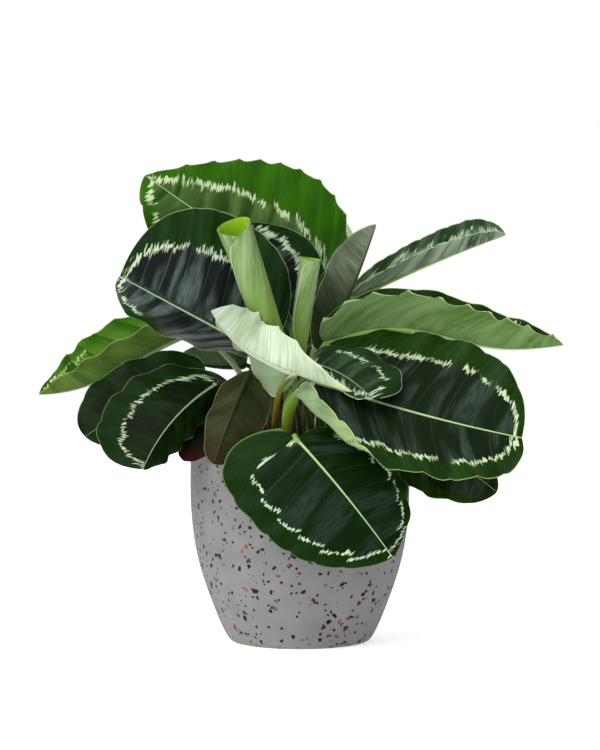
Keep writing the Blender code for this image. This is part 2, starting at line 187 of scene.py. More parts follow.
def unit(vectors: np.ndarray) -> np.ndarray:
    """Scales vectors to length 1 along the last axis."""
    return vectors / np.linalg.norm(vectors, axis=-1, keepdims=True)


def smooth(x: np.ndarray | float) -> np.ndarray:
    """Gives 0 below 0, 1 above 1, and a smooth step between."""
    x = np.clip(x, 0.0, 1.0)
    return x * x * (3.0 - 2.0 * x)


def loop_faces(rings: int, around: int) -> list[tuple[int, ...]]:
    """Faces of a tube of loops that are closed round.

    Args:
        rings: How many loops.
        around: How many points in a loop.

    Returns:
        Quads, ring by ring.
    """
    ring = np.arange(rings - 1)[:, None] * around
    k = np.arange(around)[None, :]
    after = (k + 1) % around
    quads = np.stack([ring + k, ring + after, ring + after + around, ring + k + around], axis=-1)
    return [tuple(q) for q in quads.reshape(-1, 4).tolist()]


def cap_faces(start: int, around: int, centre: int) -> list[tuple[int, ...]]:
    """Triangles that close a loop onto one point."""
    return [(start + k, start + (k + 1) % around, centre) for k in range(around)]


@dataclass
class Skin:
    """Points, faces, finishes and measures of one piece before it becomes a mesh."""

    points: list[np.ndarray] = field(default_factory=list)
    faces: list[tuple[int, ...]] = field(default_factory=list)
    finish_index: list[int] = field(default_factory=list)
    measures: dict[str, list[np.ndarray]] = field(default_factory=dict)
    count: int = 0

    def add(self, points: np.ndarray, faces: list, finish_index: list[int], **measures: np.ndarray) -> None:
        """Adds a closed shell.

        Args:
            points: Its points in millimetres.
            faces: Its faces, numbered from its own first point.
            finish_index: Which finish each face has.
            measures: A vector for every point, by attribute name.
        """
        self.points.append(points)
        self.faces += [tuple(i + self.count for i in face) for face in faces]
        self.finish_index += finish_index
        for name, values in measures.items():
            self.measures.setdefault(name, []).append(values)
        self.count += len(points)

    def build(
        self, name: str, finishes: list[bpy.types.Material], slot: str, node: str, crease: float = 50.0
    ) -> None:
        """Makes the piece and puts it on the object's body.

        Args:
            name: The piece's name.
            finishes: Its materials, in the order of finish_index.
            slot: The record's material slot; not used.
            node: The node of the frame that it replaces.
            crease: The angle in degrees above which an edge stays sharp.
        """
        mesh = bpy.data.meshes.new(name)
        mesh.from_pydata(np.vstack(self.points) * MM, [], self.faces)
        for finish in finishes:
            mesh.materials.append(finish)
        mesh.polygons.foreach_set("material_index", self.finish_index)
        for measure, values in self.measures.items():
            layer = mesh.attributes.new(measure, "FLOAT_VECTOR", "POINT")
            layer.data.foreach_set("vector", np.vstack(values).astype(np.float32).ravel())
        shell = bmesh.new()
        shell.from_mesh(mesh)
        bmesh.ops.recalc_face_normals(shell, faces=shell.faces)
        shell.to_mesh(mesh)
        shell.free()
        mesh.shade_smooth()
        mesh.set_sharp_from_angle(angle=math.radians(crease))
        made = in_scene(name, mesh)
        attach(made, BODY)
        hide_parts(node)
        log.info("%s: %d faces", name, len(mesh.polygons))


@dataclass(frozen=True)
class Finish:
    """What all finishes share. The name says what the real one is and how its surface was made.

    Each kind of finish has fields for its roughness and its gloss, which is the specular level.
    """

    name: str

    IOR = 1.45
    ROUGHER = (-0.1, 0.1)  # how far the roughness goes below and above its middle
    RELIEF = (0.2, 0.4)  # mm, and how strongly it shades
    SUNK = False  # whether the relief lies in the surface

    def pattern(self, tree: Tree) -> tuple[Socket, Socket, Socket]:
        """Gives the colour, what the roughness follows and what the relief follows."""
        raise NotImplementedError

    def sockets(self, tree: Tree) -> dict:
        """Gives the value or the output for each socket of the main shader."""
        colour, grain, relief = self.pattern(tree)
        low, high = (self.roughness + more for more in self.ROUGHER)
        depth, strength = self.RELIEF
        bump = {"Height": relief, "Distance": depth * MM, "Strength": strength}
        return {
            "Base Color": colour,
            "Roughness": add_node(tree, "MapRange", {"Value": grain, "To Min": low, "To Max": high}),
            "Normal": add_node(tree, "Bump", bump, invert=self.SUNK),
            "IOR": self.IOR,
            "Specular IOR Level": self.gloss,
        }

    def material(self) -> bpy.types.Material:
        """Makes the finish."""
        made = bpy.data.materials.new(self.name)
        made.use_nodes = True
        feed(made.node_tree.nodes["Principled BSDF"], self.sockets(made.node_tree))
        return made


@dataclass(frozen=True)
class UpperSkin(Finish):
    """A leaf's upper skin: living leaf with a thin wax, which gives a satin gloss over deep green.

    The wax has an IOR of about 1.45 and a roughness of 0.35 to 0.5. Strokes and bands of lighter
    colour follow the side veins, partly the leaf's own feathering and partly painted sheen, and a
    ring of white tissue runs between the midrib and the margin. One side of each pleat can carry
    painted light.
    """

    inner: str
    inner_vein_and_sheen: str
    outer: str
    outer_mottle_and_sheen: str
    ring: str = "#c4dca4"
    rib: str = "#b4cd90"
    margin: str = "#9cb874"
    ring_width: float = 2.6  # mm
    ring_step: float = 2.4  # mm that the ring steps at each side vein
    ring_teeth: float = 10.0  # mm from the shortest tooth to the longest
    ring_wander: float = 9.0  # mm that the ring wanders over a few side veins
    ring_gaps: float = 0.32  # how much of the ring is missing
    sheen: float = 0.5  # how much painted sheen lies over the inner field, in lighter strokes and bands along the side veins, partly the leaf's own feathering
    pleats: float = 0.0  # how much lighter one side of each pleat is, as painted light
    roughness: float = 0.42
    gloss: float = 0.08

    # How many lie from one side vein to the next, how many mm long they are, and their detail
    STROKES = (15.0, 11.0, 2.0)  # 1.4 mm each
    # The bands carry painted sheen along the side veins
    BANDS = (1.6, 60.0, 1.0)
    GAPS = (1.7, 30.0, 0.0)
    SHARDS = (19.0, 11.0, 1.0)  # the ring's own strokes, 1.1 mm each
    WANDER = (0.9, 40.0, 1.0)
    RING_THICK = (4.2, -1.6)  # against its width: from the shards, and at all places
    ROUGHER = (-0.08, 0.10)
    RELIEF = (0.35, 0.35)

    def pattern(self, tree: Tree) -> tuple[Socket, Socket, Socket]:
        """Gives the colour, what the roughness follows and what the relief follows."""
        veins, along, _, _ = measured(tree, "veins")
        _, ring, margin, rib = measured(tree, "lines")
        drawn = measured(tree, "marks")[1]
        between = add_node(tree, "Math", {0: along}, operation="FRACT")
        strokes, bands, gaps, shards, wander = (
            streaks(tree, veins, *size)
            for size in (self.STROKES, self.BANDS, self.GAPS, self.SHARDS, self.WANDER)
        )

        # The ring follows the margin, steps back at every side vein and ends in fine teeth.
        middle = -0.5 * (self.ring_step + self.ring_teeth + self.ring_wander)
        outside = add_node(tree, "Math", {0: ring, 1: middle}, operation="ADD")
        for pattern, size in (
            (between, self.ring_step), (strokes, self.ring_teeth), (wander, self.ring_wander)
        ):
            outside = add_node(tree, "Math", {0: pattern, 1: size, 2: outside}, operation="MULTIPLY_ADD")
        off_ring = add_node(tree, "Math", {0: outside}, operation="ABSOLUTE")
        more, least = (self.ring_width * share for share in self.RING_THICK)
        thick = add_node(tree, "Math", {0: shards, 1: more, 2: least}, operation="MULTIPLY_ADD")
        in_ring = add_node(tree, "Math", {0: thick, 1: off_ring}, operation="SUBTRACT")

        # Painted sheen: lighter bands and strokes along the side veins, partly the leaf's own feathering;
        # the outer field's strokes alone are its own mottling
        in_sheen_bands, in_strokes = (bands, 0.42, 0.68), (strokes, 0.38, 0.68)
        # Painted light on one side of each pleat, and a paler line at each side vein
        lit_flank, groove = (between, 0.15, 0.9), (between, 0.06, 0.0)
        inner = layered(
            tree, self.inner,
            (self.inner_vein_and_sheen, 0.55 * self.sheen, in_sheen_bands),
            (self.inner_vein_and_sheen, self.sheen, in_sheen_bands, in_strokes),
            (self.inner_vein_and_sheen, 0.45, groove),
            (self.inner_vein_and_sheen, self.pleats, lit_flank),
        )
        outer = layered(
            tree, self.outer,
            (self.outer_mottle_and_sheen, 0.35, in_strokes),
            (self.outer_mottle_and_sheen, 0.55 * self.sheen, in_sheen_bands),
            (self.outer_mottle_and_sheen, self.pleats, lit_flank),
        )
        whole = (gaps, self.ring_gaps, self.ring_gaps + 0.1)
        colour = layered(
            tree, inner,
            (outer, 1.0, (outside, -2.0, 2.5)),
            (self.ring, 1.0, (in_ring, -0.35, 0.45), whole, (drawn, 0.3, 0.7)),
            (self.rib, 1.0, (rib, 1.15, 0.8)),
            (self.margin, 1.0, (margin, 0.75, 0.25)),
        )
        return colour, strokes, add_node(tree, "Math", {0: strokes, 1: bands}, operation="ADD")


@dataclass(frozen=True)
class UnderSkin(Finish):
    """A leaf's underside: unwaxed living leaf, which looks matt and shows its raised fine veins.

    Roughness is 0.5 to 0.65. Close parallel veins lie about 2.5 mm apart.
    """

    base: str
    light: str
    lines: str
    margin: str
    glow: str = ""  # where the upper ring shows through, or nothing
    foot: str = ""  # at one end, or nothing
    foot_reach: Pair = (0.62, 1.0)  # the shares of the length between which it comes in
    painted_shade: str = ""  # the colour of the painted shade on the half that lies in shade, or nothing
    line_strength: float = 0.35
    roughness: float = 0.55
    gloss: float = 0.07

    FINE_VEINS = 8.0  # from one side vein to the next, 2.5 mm each
    STROKES = (9.0, 12.0)  # as on the upper side
    BANDS = (1.3, 70.0)
    GLOW_TEETH = 8.0  # mm from the shortest tooth to the longest
    IOR = 1.42
    ROUGHER = (-0.08, 0.08)
    RELIEF = (0.4, 0.3)
    SUNK = True

    def pattern(self, tree: Tree) -> tuple[Socket, Socket, Socket]:
        """Gives the colour, what the roughness follows and what the relief follows."""
        veins, along, _, _ = measured(tree, "veins")
        _, ring, margin, _ = measured(tree, "lines")
        down = measured(tree, "flat")[3]
        painted_shade = measured(tree, "marks")[2]
        fine = add_node(tree, "Math", {0: along, 1: self.FINE_VEINS}, operation="MULTIPLY")
        ridge = add_node(tree, "Math", {0: fine, 1: 0.5}, operation="PINGPONG")
        strokes = streaks(tree, veins, *self.STROKES)
        bands = streaks(tree, veins, *self.BANDS)
        toothed = {0: strokes, 1: self.GLOW_TEETH, 2: ring}
        toothed = add_node(tree, "Math", toothed, operation="MULTIPLY_ADD")
        colour = layered(
            tree, self.base,
            (self.light, 0.8, (bands, 0.35, 0.65)),
            (self.light, 0.45, (strokes, 0.40, 0.70)),
            (self.lines, self.line_strength, (ridge, 0.12, 0.0)),
            (self.glow, 0.6, (toothed, 1.6, 2.8), (toothed, 6.4, 5.2)),
            (self.foot, 0.85, (down, *self.foot_reach)),
            # Painted shade on the half that lies in shade
            (self.painted_shade, 0.8, (painted_shade, 0.0, 1.0)),
            (self.margin, 0.9, (margin, 0.8, 0.3)),
        )
        return colour, bands, ridge


@dataclass(frozen=True)
class StemSkin(Finish):
    """The skin of a stalk and its midrib: smooth, firm and faintly ribbed along its length.

    It is glossier than the underside. The colour runs from the soil to the blade and on to the tip.
    """

    soil: str
    middle: str
    blade: str
    tip: str
    tip_reach: Pair = (1.35, 1.9)  # 1 is the blade's base and 2 its tip
    roughness: float = 0.45
    gloss: float = 0.16

    RIBS = (2.2, 20.0)  # in a mm round the stalk, and how many mm long

    def pattern(self, tree: Tree) -> tuple[Socket, Socket, Socket]:
        """Gives the colour, what the roughness follows and what the relief follows."""
        flat, _, _, way = measured(tree, "flat")
        ribs = streaks(tree, flat, *self.RIBS)
        spread = add_node(tree, "Math", {0: ribs, 1: 0.3, 2: way}, operation="MULTIPLY_ADD")
        colour = layered(
            tree, self.soil,
            (self.middle, 1.0, (spread, 0.25, 0.6)),
            (self.blade, 1.0, (spread, 0.7, 1.0)),
            (self.tip, 1.0, (spread, *self.tip_reach)),
        )
        shade = add_node(tree, "MapRange", {"Value": ribs, "To Min": 0.78, "To Max": 1.18})
        colour = add_node(tree, "VectorMath", {0: colour, "Scale": shade}, operation="SCALE")
        return colour, ribs, ribs


class Upper(Enum):
    """The upper skins on this plant."""

    FRESH = UpperSkin(
        "waxy leaf skin, full light", "#2b4e14", "#6c8e4c", "#265803", "#3b7508", ring="#cbdfae",
        ring_width=3.6, margin="#6a8448", sheen=0.55, pleats=0.3,
    )
    NIGHT = UpperSkin(
        "waxy leaf skin, blue black", "#111a16", "#5f6d68", "#0c2804", "#1f460f", ring="#c2d4b2",
        rib="#a3bd90", ring_width=3.0, ring_teeth=12.0, margin="#86a472", sheen=0.85, roughness=0.38,
        gloss=0.12,
    )
    DEEP = UpperSkin(
        "waxy leaf skin, deep green", "#0b1b05", "#3f4c43", "#0e2803", "#254b0d", ring="#bfd3a6",
        rib="#a9c685", margin="#7f9c50", sheen=0.65,
    )
    GLOSSY = UpperSkin(
        "waxy leaf skin, glossy green", "#0a1e04", "#303f36", "#0a2402", "#143904", ring="#bccfa8",
        rib="#a9c685", ring_width=1.4, margin="#587034", ring_teeth=6.0, ring_step=5.0, ring_gaps=0.2,
        gloss=0.06,
    )
    SHADE = UpperSkin(
        "waxy leaf skin, in shade", "#081503", "#1d3012", "#0b2004", "#16350d", ring="#a9bd9a",
        rib="#8ba277", ring_width=1.7, ring_gaps=0.22, margin="#5b7547", gloss=0.05,
    )
    YOUNG = UpperSkin(
        "waxy leaf skin, half grown", "#12260c", "#3c573a", "#152f0e", "#2b4a25", ring="#c3d3b4",
        rib="#7f9a68", ring_width=1.8, margin="#b4c6a0", sheen=0.7, roughness=0.5,
    )
    STREAKED = UpperSkin(
        "waxy leaf skin, streaked", "#213b1b", "#8ba184", "#1d3616", "#54704d", ring="#b4c6a8",
        rib="#7f9a68", ring_teeth=14.0, margin="#a3b593", sheen=0.9, roughness=0.5,
    )
    BRIGHT = UpperSkin(
        "waxy leaf skin, bright green", "#214802", "#5c8a24", "#204602", "#467812", ring="#c0d890",
        rib="#a9c876", ring_width=1.2, margin="#8fae5e", pleats=0.6, gloss=0.04,
    )
    ROLLED = UpperSkin(
        "waxy leaf skin, still rolled", "#93c222", "#b9dc55", "#93c222", "#c3e26c", ring="#b9dc55",
        rib="#93c222", ring_width=1.0, margin="#d6eaa4", sheen=0.4, roughness=0.5,
    )


class Under(Enum):
    """The undersides on this plant."""

    LIGHT = UnderSkin("bare leaf underside, light green", "#4a6b30", "#78945f", "#44612b", "#b6d08c")
    FLAP = UnderSkin(
        "bare leaf underside, turned over", "#6d875a", "#9ab086", "#648050", "#b9cc9b", foot="#93ae66",
        foot_reach=(0.1, 0.5),
    )
    # The half in shade gets a painted shade colour.
    PALE = UnderSkin(
        "bare leaf underside, whitish", "#b0c39f", "#dbe6d0", "#7f9969", "#d6e6ae", line_strength=0.75,
        painted_shade="#7f976c",
    )
    GREY = UnderSkin(
        "bare leaf underside, grey olive", "#536049", "#8b967f", "#4d5a43", "#a3b092", foot="#1c2e0b",
        foot_reach=(0.75, 0.2),
    )
    STREAKED = UnderSkin(
        "bare leaf underside, streaked", "#2f452b", "#a3b39a", "#2a3f26", "#b7c6aa", line_strength=0.6,
    )
    OLIVE = UnderSkin("bare leaf underside, olive", "#455f20", "#5f7b36", "#3c5620", "#86a25a")
    DIM = UnderSkin("bare leaf underside, dim olive", "#2f4220", "#4a5f38", "#2b3d1e", "#6f8550")
    BROWN = UnderSkin(
        "bare leaf underside, olive brown", "#242a12", "#3b4226", "#292e13", "#6b6f45", foot="#2e220c",
        line_strength=0.15,
    )
    # Near black: the leaf's own wine red darkened as painted shade; the red at its foot is its own colour.
    MAROON = UnderSkin(
        "bare leaf underside, wine red in painted shade", "#120d07", "#1a180c", "#160f08", "#33261a", foot="#3d0f0b",
        foot_reach=(0.78, 1.0),
    )
    ROLLED = UnderSkin(
        "bare leaf underside, still rolled", "#658548", "#9fb785", "#658548", "#d2e4ba", foot="#6f9036",
        foot_reach=(0.85, 0.25), line_strength=0.2,
    )
    MATURE = UnderSkin(
        "bare leaf underside, full grown", "#41402a", "#625c42", "#4d4730", "#8f9c68", glow="#6f7a4c",
    )


class Stem(Enum):
    """The stalk skins on this plant."""

    # GREEN and ROLLED are dark near the soil, and OLIVE all along: partly the stalks' own maroon brown and
    # olive, partly painted shade where they stand in shade low in the plant.
    GREEN = StemSkin("stalk skin, green", "#3c2813", "#4f5a22", "#86a552", "#a9c48a")
    ORANGE = StemSkin(
        "stalk skin, orange brown", "#66380f", "#645a14", "#5a6f20", "#b6c7a3", tip_reach=(0.98, 1.12),
    )
    GREY = StemSkin("stalk skin, grey green", "#7c4a3a", "#8a9a78", "#8b9e78", "#9cb084")
    OLIVE = StemSkin("stalk skin, olive", "#2c1c0e", "#2c331a", "#2f371d", "#353d22")
    SHEATH = StemSkin("stalk skin, sheathed", "#5d7a1b", "#86ab2f", "#8fae58", "#a9c088")
    ROLLED = StemSkin("stalk skin, young", "#33240f", "#424c20", "#86a356", "#9db77a")


@dataclass
class Finishes:
    """Makes each finish once and hands it to every piece that has it."""

    made: dict[Enum, bpy.types.Material] = field(default_factory=dict)

    def get(self, choice: Enum) -> bpy.types.Material:
        """Gives the material of a choice."""
        if choice not in self.made:
            self.made[choice] = choice.value.material()
        return self.made[choice]


@dataclass
class CalatheaLeaf:
    """One leaf with its stalk. Pairs run left, right, seen from the stalk with the upper side up."""

    node: str
    root: Pair  # where the stalk leaves the soil
    base: Point  # where the blade begins
    tip: Point
    faces: Point  # the way the upper side looks
    halves: Pair  # half widths of the blade
    slot: str = "leaf_green"
    upper: Upper | Under = Upper.SHADE  # an underside where the leaf is turned right round
    under: Under = Under.MATURE
    stem: Stem = Stem.GREEN
    arch: Point = (0, 0, 0)
    sway: Point = (0, 0, 0)
    faces_tip: Point | None = None
    fold: Pair = (8, 8)
    fold_tip: Pair | None = None
    curl: Pair = (0, 0)
    flap: Point | None = None
    lobe: Pair = (0.25, 0.25)
    tail: Pair = (0, 0)  # mm that the base runs back along the stalk
    shoulder: Pair = (0, 0)
    roll: Pair | None = None
    wave: tuple[float, int] = (2.0, 5)
    widest: Pair = (0.42, 0.42)
    point: Pair = (0.62, 0.62)  # the smaller, the blunter the tip
    root_point: Pair = (0.5, 0.5)  # the same for the blade's base
    fullness: float = 2.2
    stalk: float = 1.9
    spread: float = 1.5
    sheath: float = 0.0  # how much thicker its sheath makes the stalk below the blade
    knee: float = 1.0
    via: Point | None = None
    teeth: Pair = (1.0, 1.0)  # mm: above 0 round lobes along the margin, below 0 sharp teeth
    pleat: float = 0.5  # mm that the blade stands up between its side veins
    vein_gap: float = 21.0  # mm along the midrib
    ring: Pair = (0.76, 0.74)  # the pale ring's share of each half width
    ring_from: Pair = (-1, -1)  # the share of the length where the ring starts to show
    rib: float = 1.0  # how wide the midrib's colour is, against the stalk
    painted_shade: Pair = (0, 0)  # the share of the underside's painted shade on each half
    fine: bool = True

    SOIL_TOP = 132.0
    BASE_FULLNESS = 2.2
    SECTION_STEPS = 96
    FOLD_REACH = 0.55  # the share of the length over which the fold changes
    FLAP_BEND = 0.2
    FLAP_START = 0.1
    ROLL_END = 0.955
    LAYERS = 1.8  # mm from one layer of a rolled leaf to the next
    ROLLED_VEIN_GAP = 12.0  # mm round the roll, along which the side veins run steeply
    ROLLED_VEIN_RISE = 1.2
    THICKNESS = 0.5
    MARGIN_THINS = 0.4  # how much thinner the blade is at the margin
    RIDGE = (0.45, 1.5)  # mm that the midrib stands up on the upper side, and how wide
    RIDGE_FADES = 0.7  # how much lower the midrib is at the tip
    LEAN = 0.28  # how far side veins lean towards the tip
    VEIN_SHIFT = 0.37  # how far the right half's side veins stand off the left half's
    VEIN_STRAY = (0.10, 5.1)  # how far side veins stray from even places, and how often
    VEIN_SLANT = 1.15  # a side vein's length against its distance across
    HALVES_APART = 40.0  # side veins, which sets the halves' patterns apart
    FINE_PLEATS = 0.16  # against the pleats between side veins
    FLAT_RIB = 5.0  # mm from the midrib over which the pleats come in
    WAVE_SHIFT = 1.9  # radians from the left margin's waves to the right margin's
    RING_ENDS = (0.03, 0.965)
    RING_STEPS = 70
    RING_GRID = np.linspace(0.0, 1.0, 201)
    RING_WIDEST = 0.93
    RING_SHARPNESS = 12.0  # how suddenly the ring starts to show
    ROWS = {True: (112, 56), False: (72, 32)}  # along and across, fine or plain
    EVEN_ROWS = 0.4  # how evenly the rows lie, while the rest draws them to both ends
    BLADE_ENDS = (0.0003, 0.9994)
    STALK_SIDES = 14
    STALK_RINGS = 26
    RIB_RINGS = 44
    RIB_END = 0.985
    ROLLED_RIB_END = 0.93
    SHEATH_AT = 0.66  # the share of the stalk where its sheath is widest
    SHEATH_REACH = 0.22
    RIB_TAPER = 0.85
    RIB_SUNK = (0.8, 0.05)  # against its radius, and the share of the length over which it sinks
    RIB_POINT = 0.007  # the share of the length that its point adds
    RIB_COLOUR = (0.85, 0.75)  # its half width against the stalk, and how far it narrows
    STALK_FOOT = (-9.0, 3.0)  # mm from the soil's surface: its end, and where it starts to bend
    STALK_BEND = (0.45, 0.3)  # shares of its reach over which it rises and arrives

    @property
    def length(self) -> float:
        """The blade's length in a straight line."""
        return float(np.linalg.norm(np.subtract(self.tip, self.base)))

    @property
    def seed(self) -> float:
        """A number that sets this leaf's patterns apart from the others'."""
        return float(sum(map(ord, self.node)) % 97)

    def midrib(self, t: np.ndarray) -> tuple[np.ndarray, np.ndarray]:
        """Follows the midrib.

        Args:
            t: Shares of the way from base to tip.

        Returns:
            Points and directions.
        """
        base, tip, arch, sway = np.array([self.base, self.tip, self.arch, self.sway], float)
        t = np.asarray(t, float)[:, None]
        turn = 2.0 * math.pi
        points = base + (tip - base) * t + arch * 4.0 * t * (1.0 - t) + sway * np.sin(turn * t)
        along = (tip - base) + arch * 4.0 * (1.0 - 2.0 * t) + sway * turn * np.cos(turn * t)
        return points, unit(along)

    def outline(self, t: np.ndarray, side: int) -> np.ndarray:
        """How wide a half of the blade is at t, as a share of its widest."""
        widest = self.widest[side]
        towards_base = np.clip((widest - t) / widest, 0.0, 1.0)
        towards_tip = np.clip((t - widest) / (1.0 - widest), 0.0, 1.0)
        at_base = (1.0 - towards_base**self.BASE_FULLNESS) ** self.root_point[side]
        at_tip = (1.0 - towards_tip**self.fullness) ** self.point[side]
        return np.where(t < widest, at_base, at_tip)

    def back(self, t: np.ndarray, side: int) -> np.ndarray:
        """How many millimetres the margin reaches back along the leaf."""
        share = self.lobe[side] * (1.0 - t) ** 3 - self.shoulder[side] * t**3
        width = self.outline(t, side) * self.halves[side]
        return share * width + self.tail[side] * (1.0 - t) ** 5

    def folded(self, t: np.ndarray) -> np.ndarray:
        """How steeply each half rises from the midrib at t, in radians."""
        start, end = np.radians(self.fold), np.radians(self.fold_tip or self.fold)
        return start + (end - start) * smooth(t[:, None] / self.FOLD_REACH)

    def section(self, t: np.ndarray, side: int, width: np.ndarray) -> tuple[np.ndarray, ...]:
        """Bends a half blade.

        Args:
            t: Shares of the way from base to tip.
            side: 0 for left, 1 for right.
            width: The half width at each t.

        Returns:
            Distances out and up, and the slope, from midrib to margin.
        """
        reach = np.linspace(0.0, 1.0, self.SECTION_STEPS + 1)[None, :]
        slope = self.folded(t)[:, side, None] + reach * math.radians(self.curl[side])
        if self.roll:
            radius = self.roll[0] + (self.roll[1] - self.roll[0]) * t[:, None]
            inward = 2 * side - 1
            wound = np.sqrt(radius**2 + inward * self.LAYERS * reach * width[:, None] / math.pi)
            slope = inward * (wound - radius) * 2.0 * math.pi / self.LAYERS
        if self.flap and side == 1:
            angle, where, along = self.flap
            line = where + (1.0 - where) * (t[:, None] / along) ** 1.2
            turned_over = math.radians(angle) * smooth(t / self.FLAP_START)[:, None]
            slope = slope + turned_over * smooth((reach - line) / self.FLAP_BEND)
        middle = 0.5 * (slope[:, 1:] + slope[:, :-1])
        step = width[:, None] / self.SECTION_STEPS
        still = np.zeros((len(t), 1))
        out = np.hstack([still, np.cumsum(np.cos(middle) * step, axis=1)])
        up = np.hstack([still, np.cumsum(np.sin(middle) * step, axis=1)])
        return out, up, slope

    def ring_line(self) -> tuple[np.ndarray, list[np.ndarray]]:
        """Draws the pale ring on the flattened leaf.

        Returns:
            Its points as a closed line, and each half's reach at evenly spaced t.
        """
        start, end = self.RING_ENDS
        s = 0.5 - 0.5 * np.cos(np.linspace(0.0, math.pi, self.RING_STEPS))
        t = start + (end - start) * s
        halves, reaches = [], []
        for side, sign in ((0, -1.0), (1, 1.0)):
            width = np.maximum(self.outline(t, side) * self.halves[side], 1e-3)
            x = self.ring[side] * self.outline(s, side) * self.halves[side]
            reach = np.minimum(x / width, self.RING_WIDEST)
            y = t * self.length - self.back(t, side) * reach**2
            halves.append(np.column_stack([sign * reach * width, y]))
            reaches.append(np.interp(self.RING_GRID, t, reach, left=0.0, right=0.0))
        return np.vstack([halves[0], halves[1][::-1]]), reaches

    def ring_distance(self, x: np.ndarray, y: np.ndarray, t: np.ndarray, v: np.ndarray) -> np.ndarray:
        """Measures how far each point lies outside the pale ring.

        Args:
            x: Millimetres across the flattened leaf.
            y: Millimetres along it.
            t: Shares of the way from base to tip, one for each row.
            v: Where across the blade, one for each column.

        Returns:
            Millimetres, below 0 inside the ring.
        """
        a, reaches = self.ring_line()
        d = np.roll(a, -1, axis=0) - a
        p = np.stack([x.ravel(), y.ravel()], axis=-1)[:, None, :]
        share = np.clip(((p - a) * d).sum(-1) / np.maximum((d * d).sum(-1), 1e-9), 0.0, 1.0)
        away = np.linalg.norm(p - a - share[..., None] * d, axis=-1).min(axis=1).reshape(x.shape)
        left, right = (np.interp(t, self.RING_GRID, reach)[:, None] for reach in reaches)
        limit = np.where(v[None, :] > 0, right, left)
        return np.where(np.abs(v)[None, :] < limit, -away, away)

    def surface(self, t: np.ndarray, v: np.ndarray) -> dict[str, np.ndarray]:
        """Shapes the blade's middle sheet.

        Args:
            t: Shares of the way from base to tip.
            v: Where across the blade, from -1 to 1.

        Returns:
            Points, normals, and the measures that the finishes use.
        """
        centre, along = self.midrib(t)
        facing, facing_tip = np.array([self.faces, self.faces_tip or self.faces], float)
        facing = facing + (facing_tip - facing) * t[:, None]
        normal = unit(facing - (facing * along).sum(-1, keepdims=True) * along)
        across = np.cross(along, normal)

        shape = (len(t), len(v))
        points, local = np.zeros((*shape, 3)), np.zeros((*shape, 3))
        x, y, veins, margin = (np.zeros(shape) for _ in range(4))
        grid = np.linspace(0.0, 1.0, self.SECTION_STEPS + 1)
        height, waves = self.wave
        for side, sign in ((0, -1.0), (1, 1.0)):
            columns = np.nonzero(v > 0 if side else v <= 0)[0]
            reach = np.abs(v[columns])[None, :]
            share = self.outline(t, side)
            width = share * self.halves[side]
            out, up, slope = (
                np.array([np.interp(reach[0], grid, row) for row in values])
                for values in self.section(t, side, width)
            )
            back = self.back(t, side)[:, None] * reach**2
            lean = self.LEAN * reach**1.3
            start = (t[:, None] - lean) / (1.0 - lean)
            vein = start * self.length / self.vein_gap + self.VEIN_SHIFT * side
            stray, often = self.VEIN_STRAY
            vein = vein + stray * np.sin(often * vein + self.seed)
            lobes = np.abs(np.sin(math.pi * vein))
            pleats = (lobes**0.8 - 0.5) * (1.0 - 0.35 * reach)
            pleats = pleats + self.FINE_PLEATS * np.sin(8.0 * math.pi * vein)
            pleats = pleats * self.pleat * smooth(reach * width[:, None] / self.FLAT_RIB)
            scallop = self.teeth[side] * (lobes**0.7 - 0.6) * reach**6 * smooth(3.0 * share)[:, None]
            phase = 2.0 * math.pi * waves * t + self.WAVE_SHIFT * side
            ripple = height * (np.sin(phase) * smooth(4.0 * share))[:, None] * reach**3
            outward, rise = sign * across[:, None, :], normal[:, None, :]
            cos, sin = np.cos(slope)[..., None], np.sin(slope)[..., None]
            away, onward = cos * rise - sin * outward, cos * outward + sin * rise
            local[:, columns] = away
            points[:, columns] = (
                centre[:, None, :] + out[..., None] * outward + up[..., None] * rise
                - back[..., None] * along[:, None, :] + (ripple + pleats)[..., None] * away
                + scallop[..., None] * onward
            )
            x[:, columns] = sign * reach * width[:, None]
            y[:, columns] = t[:, None] * self.length - back
            veins[:, columns] = vein + self.HALVES_APART * side
            margin[:, columns] = (1.0 - reach) * width[:, None]
        if not self.roll:
            fold = self.folded(t)
            tilt = (np.sin(fold[:, 0]) - np.sin(fold[:, 1]))[:, None]
            bisector = np.cos(fold).sum(axis=1)[:, None] * normal + tilt * across
            local[:, np.abs(v) < 1e-3] = unit(bisector)[:, None, :]
        return {
            "points": points, "normals": local, "x": x, "y": y, "veins": veins, "margin": margin,
            "t": np.repeat(t[:, None], len(v), axis=1), "ring": self.ring_distance(x, y, t, v),
        }

    def measures(self, sheet: dict[str, np.ndarray]) -> dict[str, tuple[np.ndarray, ...]]:
        """Gives what the finishes read from the blade.

        Args:
            sheet: The blade's middle sheet.

        Returns:
            By attribute name, the three parts of each vector.
        """
        x, y, t = sheet["x"], sheet["y"], sheet["t"]
        seed = np.full(x.shape, self.seed)
        veins, length = sheet["veins"], np.abs(x) * self.VEIN_SLANT
        if self.roll:
            veins, length = x / self.ROLLED_VEIN_GAP + self.ROLLED_VEIN_RISE * t, y
        wide, narrows = self.RIB_COLOUR
        rib = wide * self.rib * self.stalk * (1.0 - narrows * t)
        drawn = 0.5 + self.RING_SHARPNESS * (t - np.where(x > 0.0, self.ring_from[1], self.ring_from[0]))
        # The share of painted shade on each half of the underside
        painted_shade = np.where(x > 0.0, self.painted_shade[1], self.painted_shade[0])
        return {
            "flat": (x, y, t),
            "veins": (veins, length, seed),
            "lines": (sheet["ring"], sheet["margin"], np.abs(x) / rib),
            "marks": (drawn, painted_shade, seed),
        }

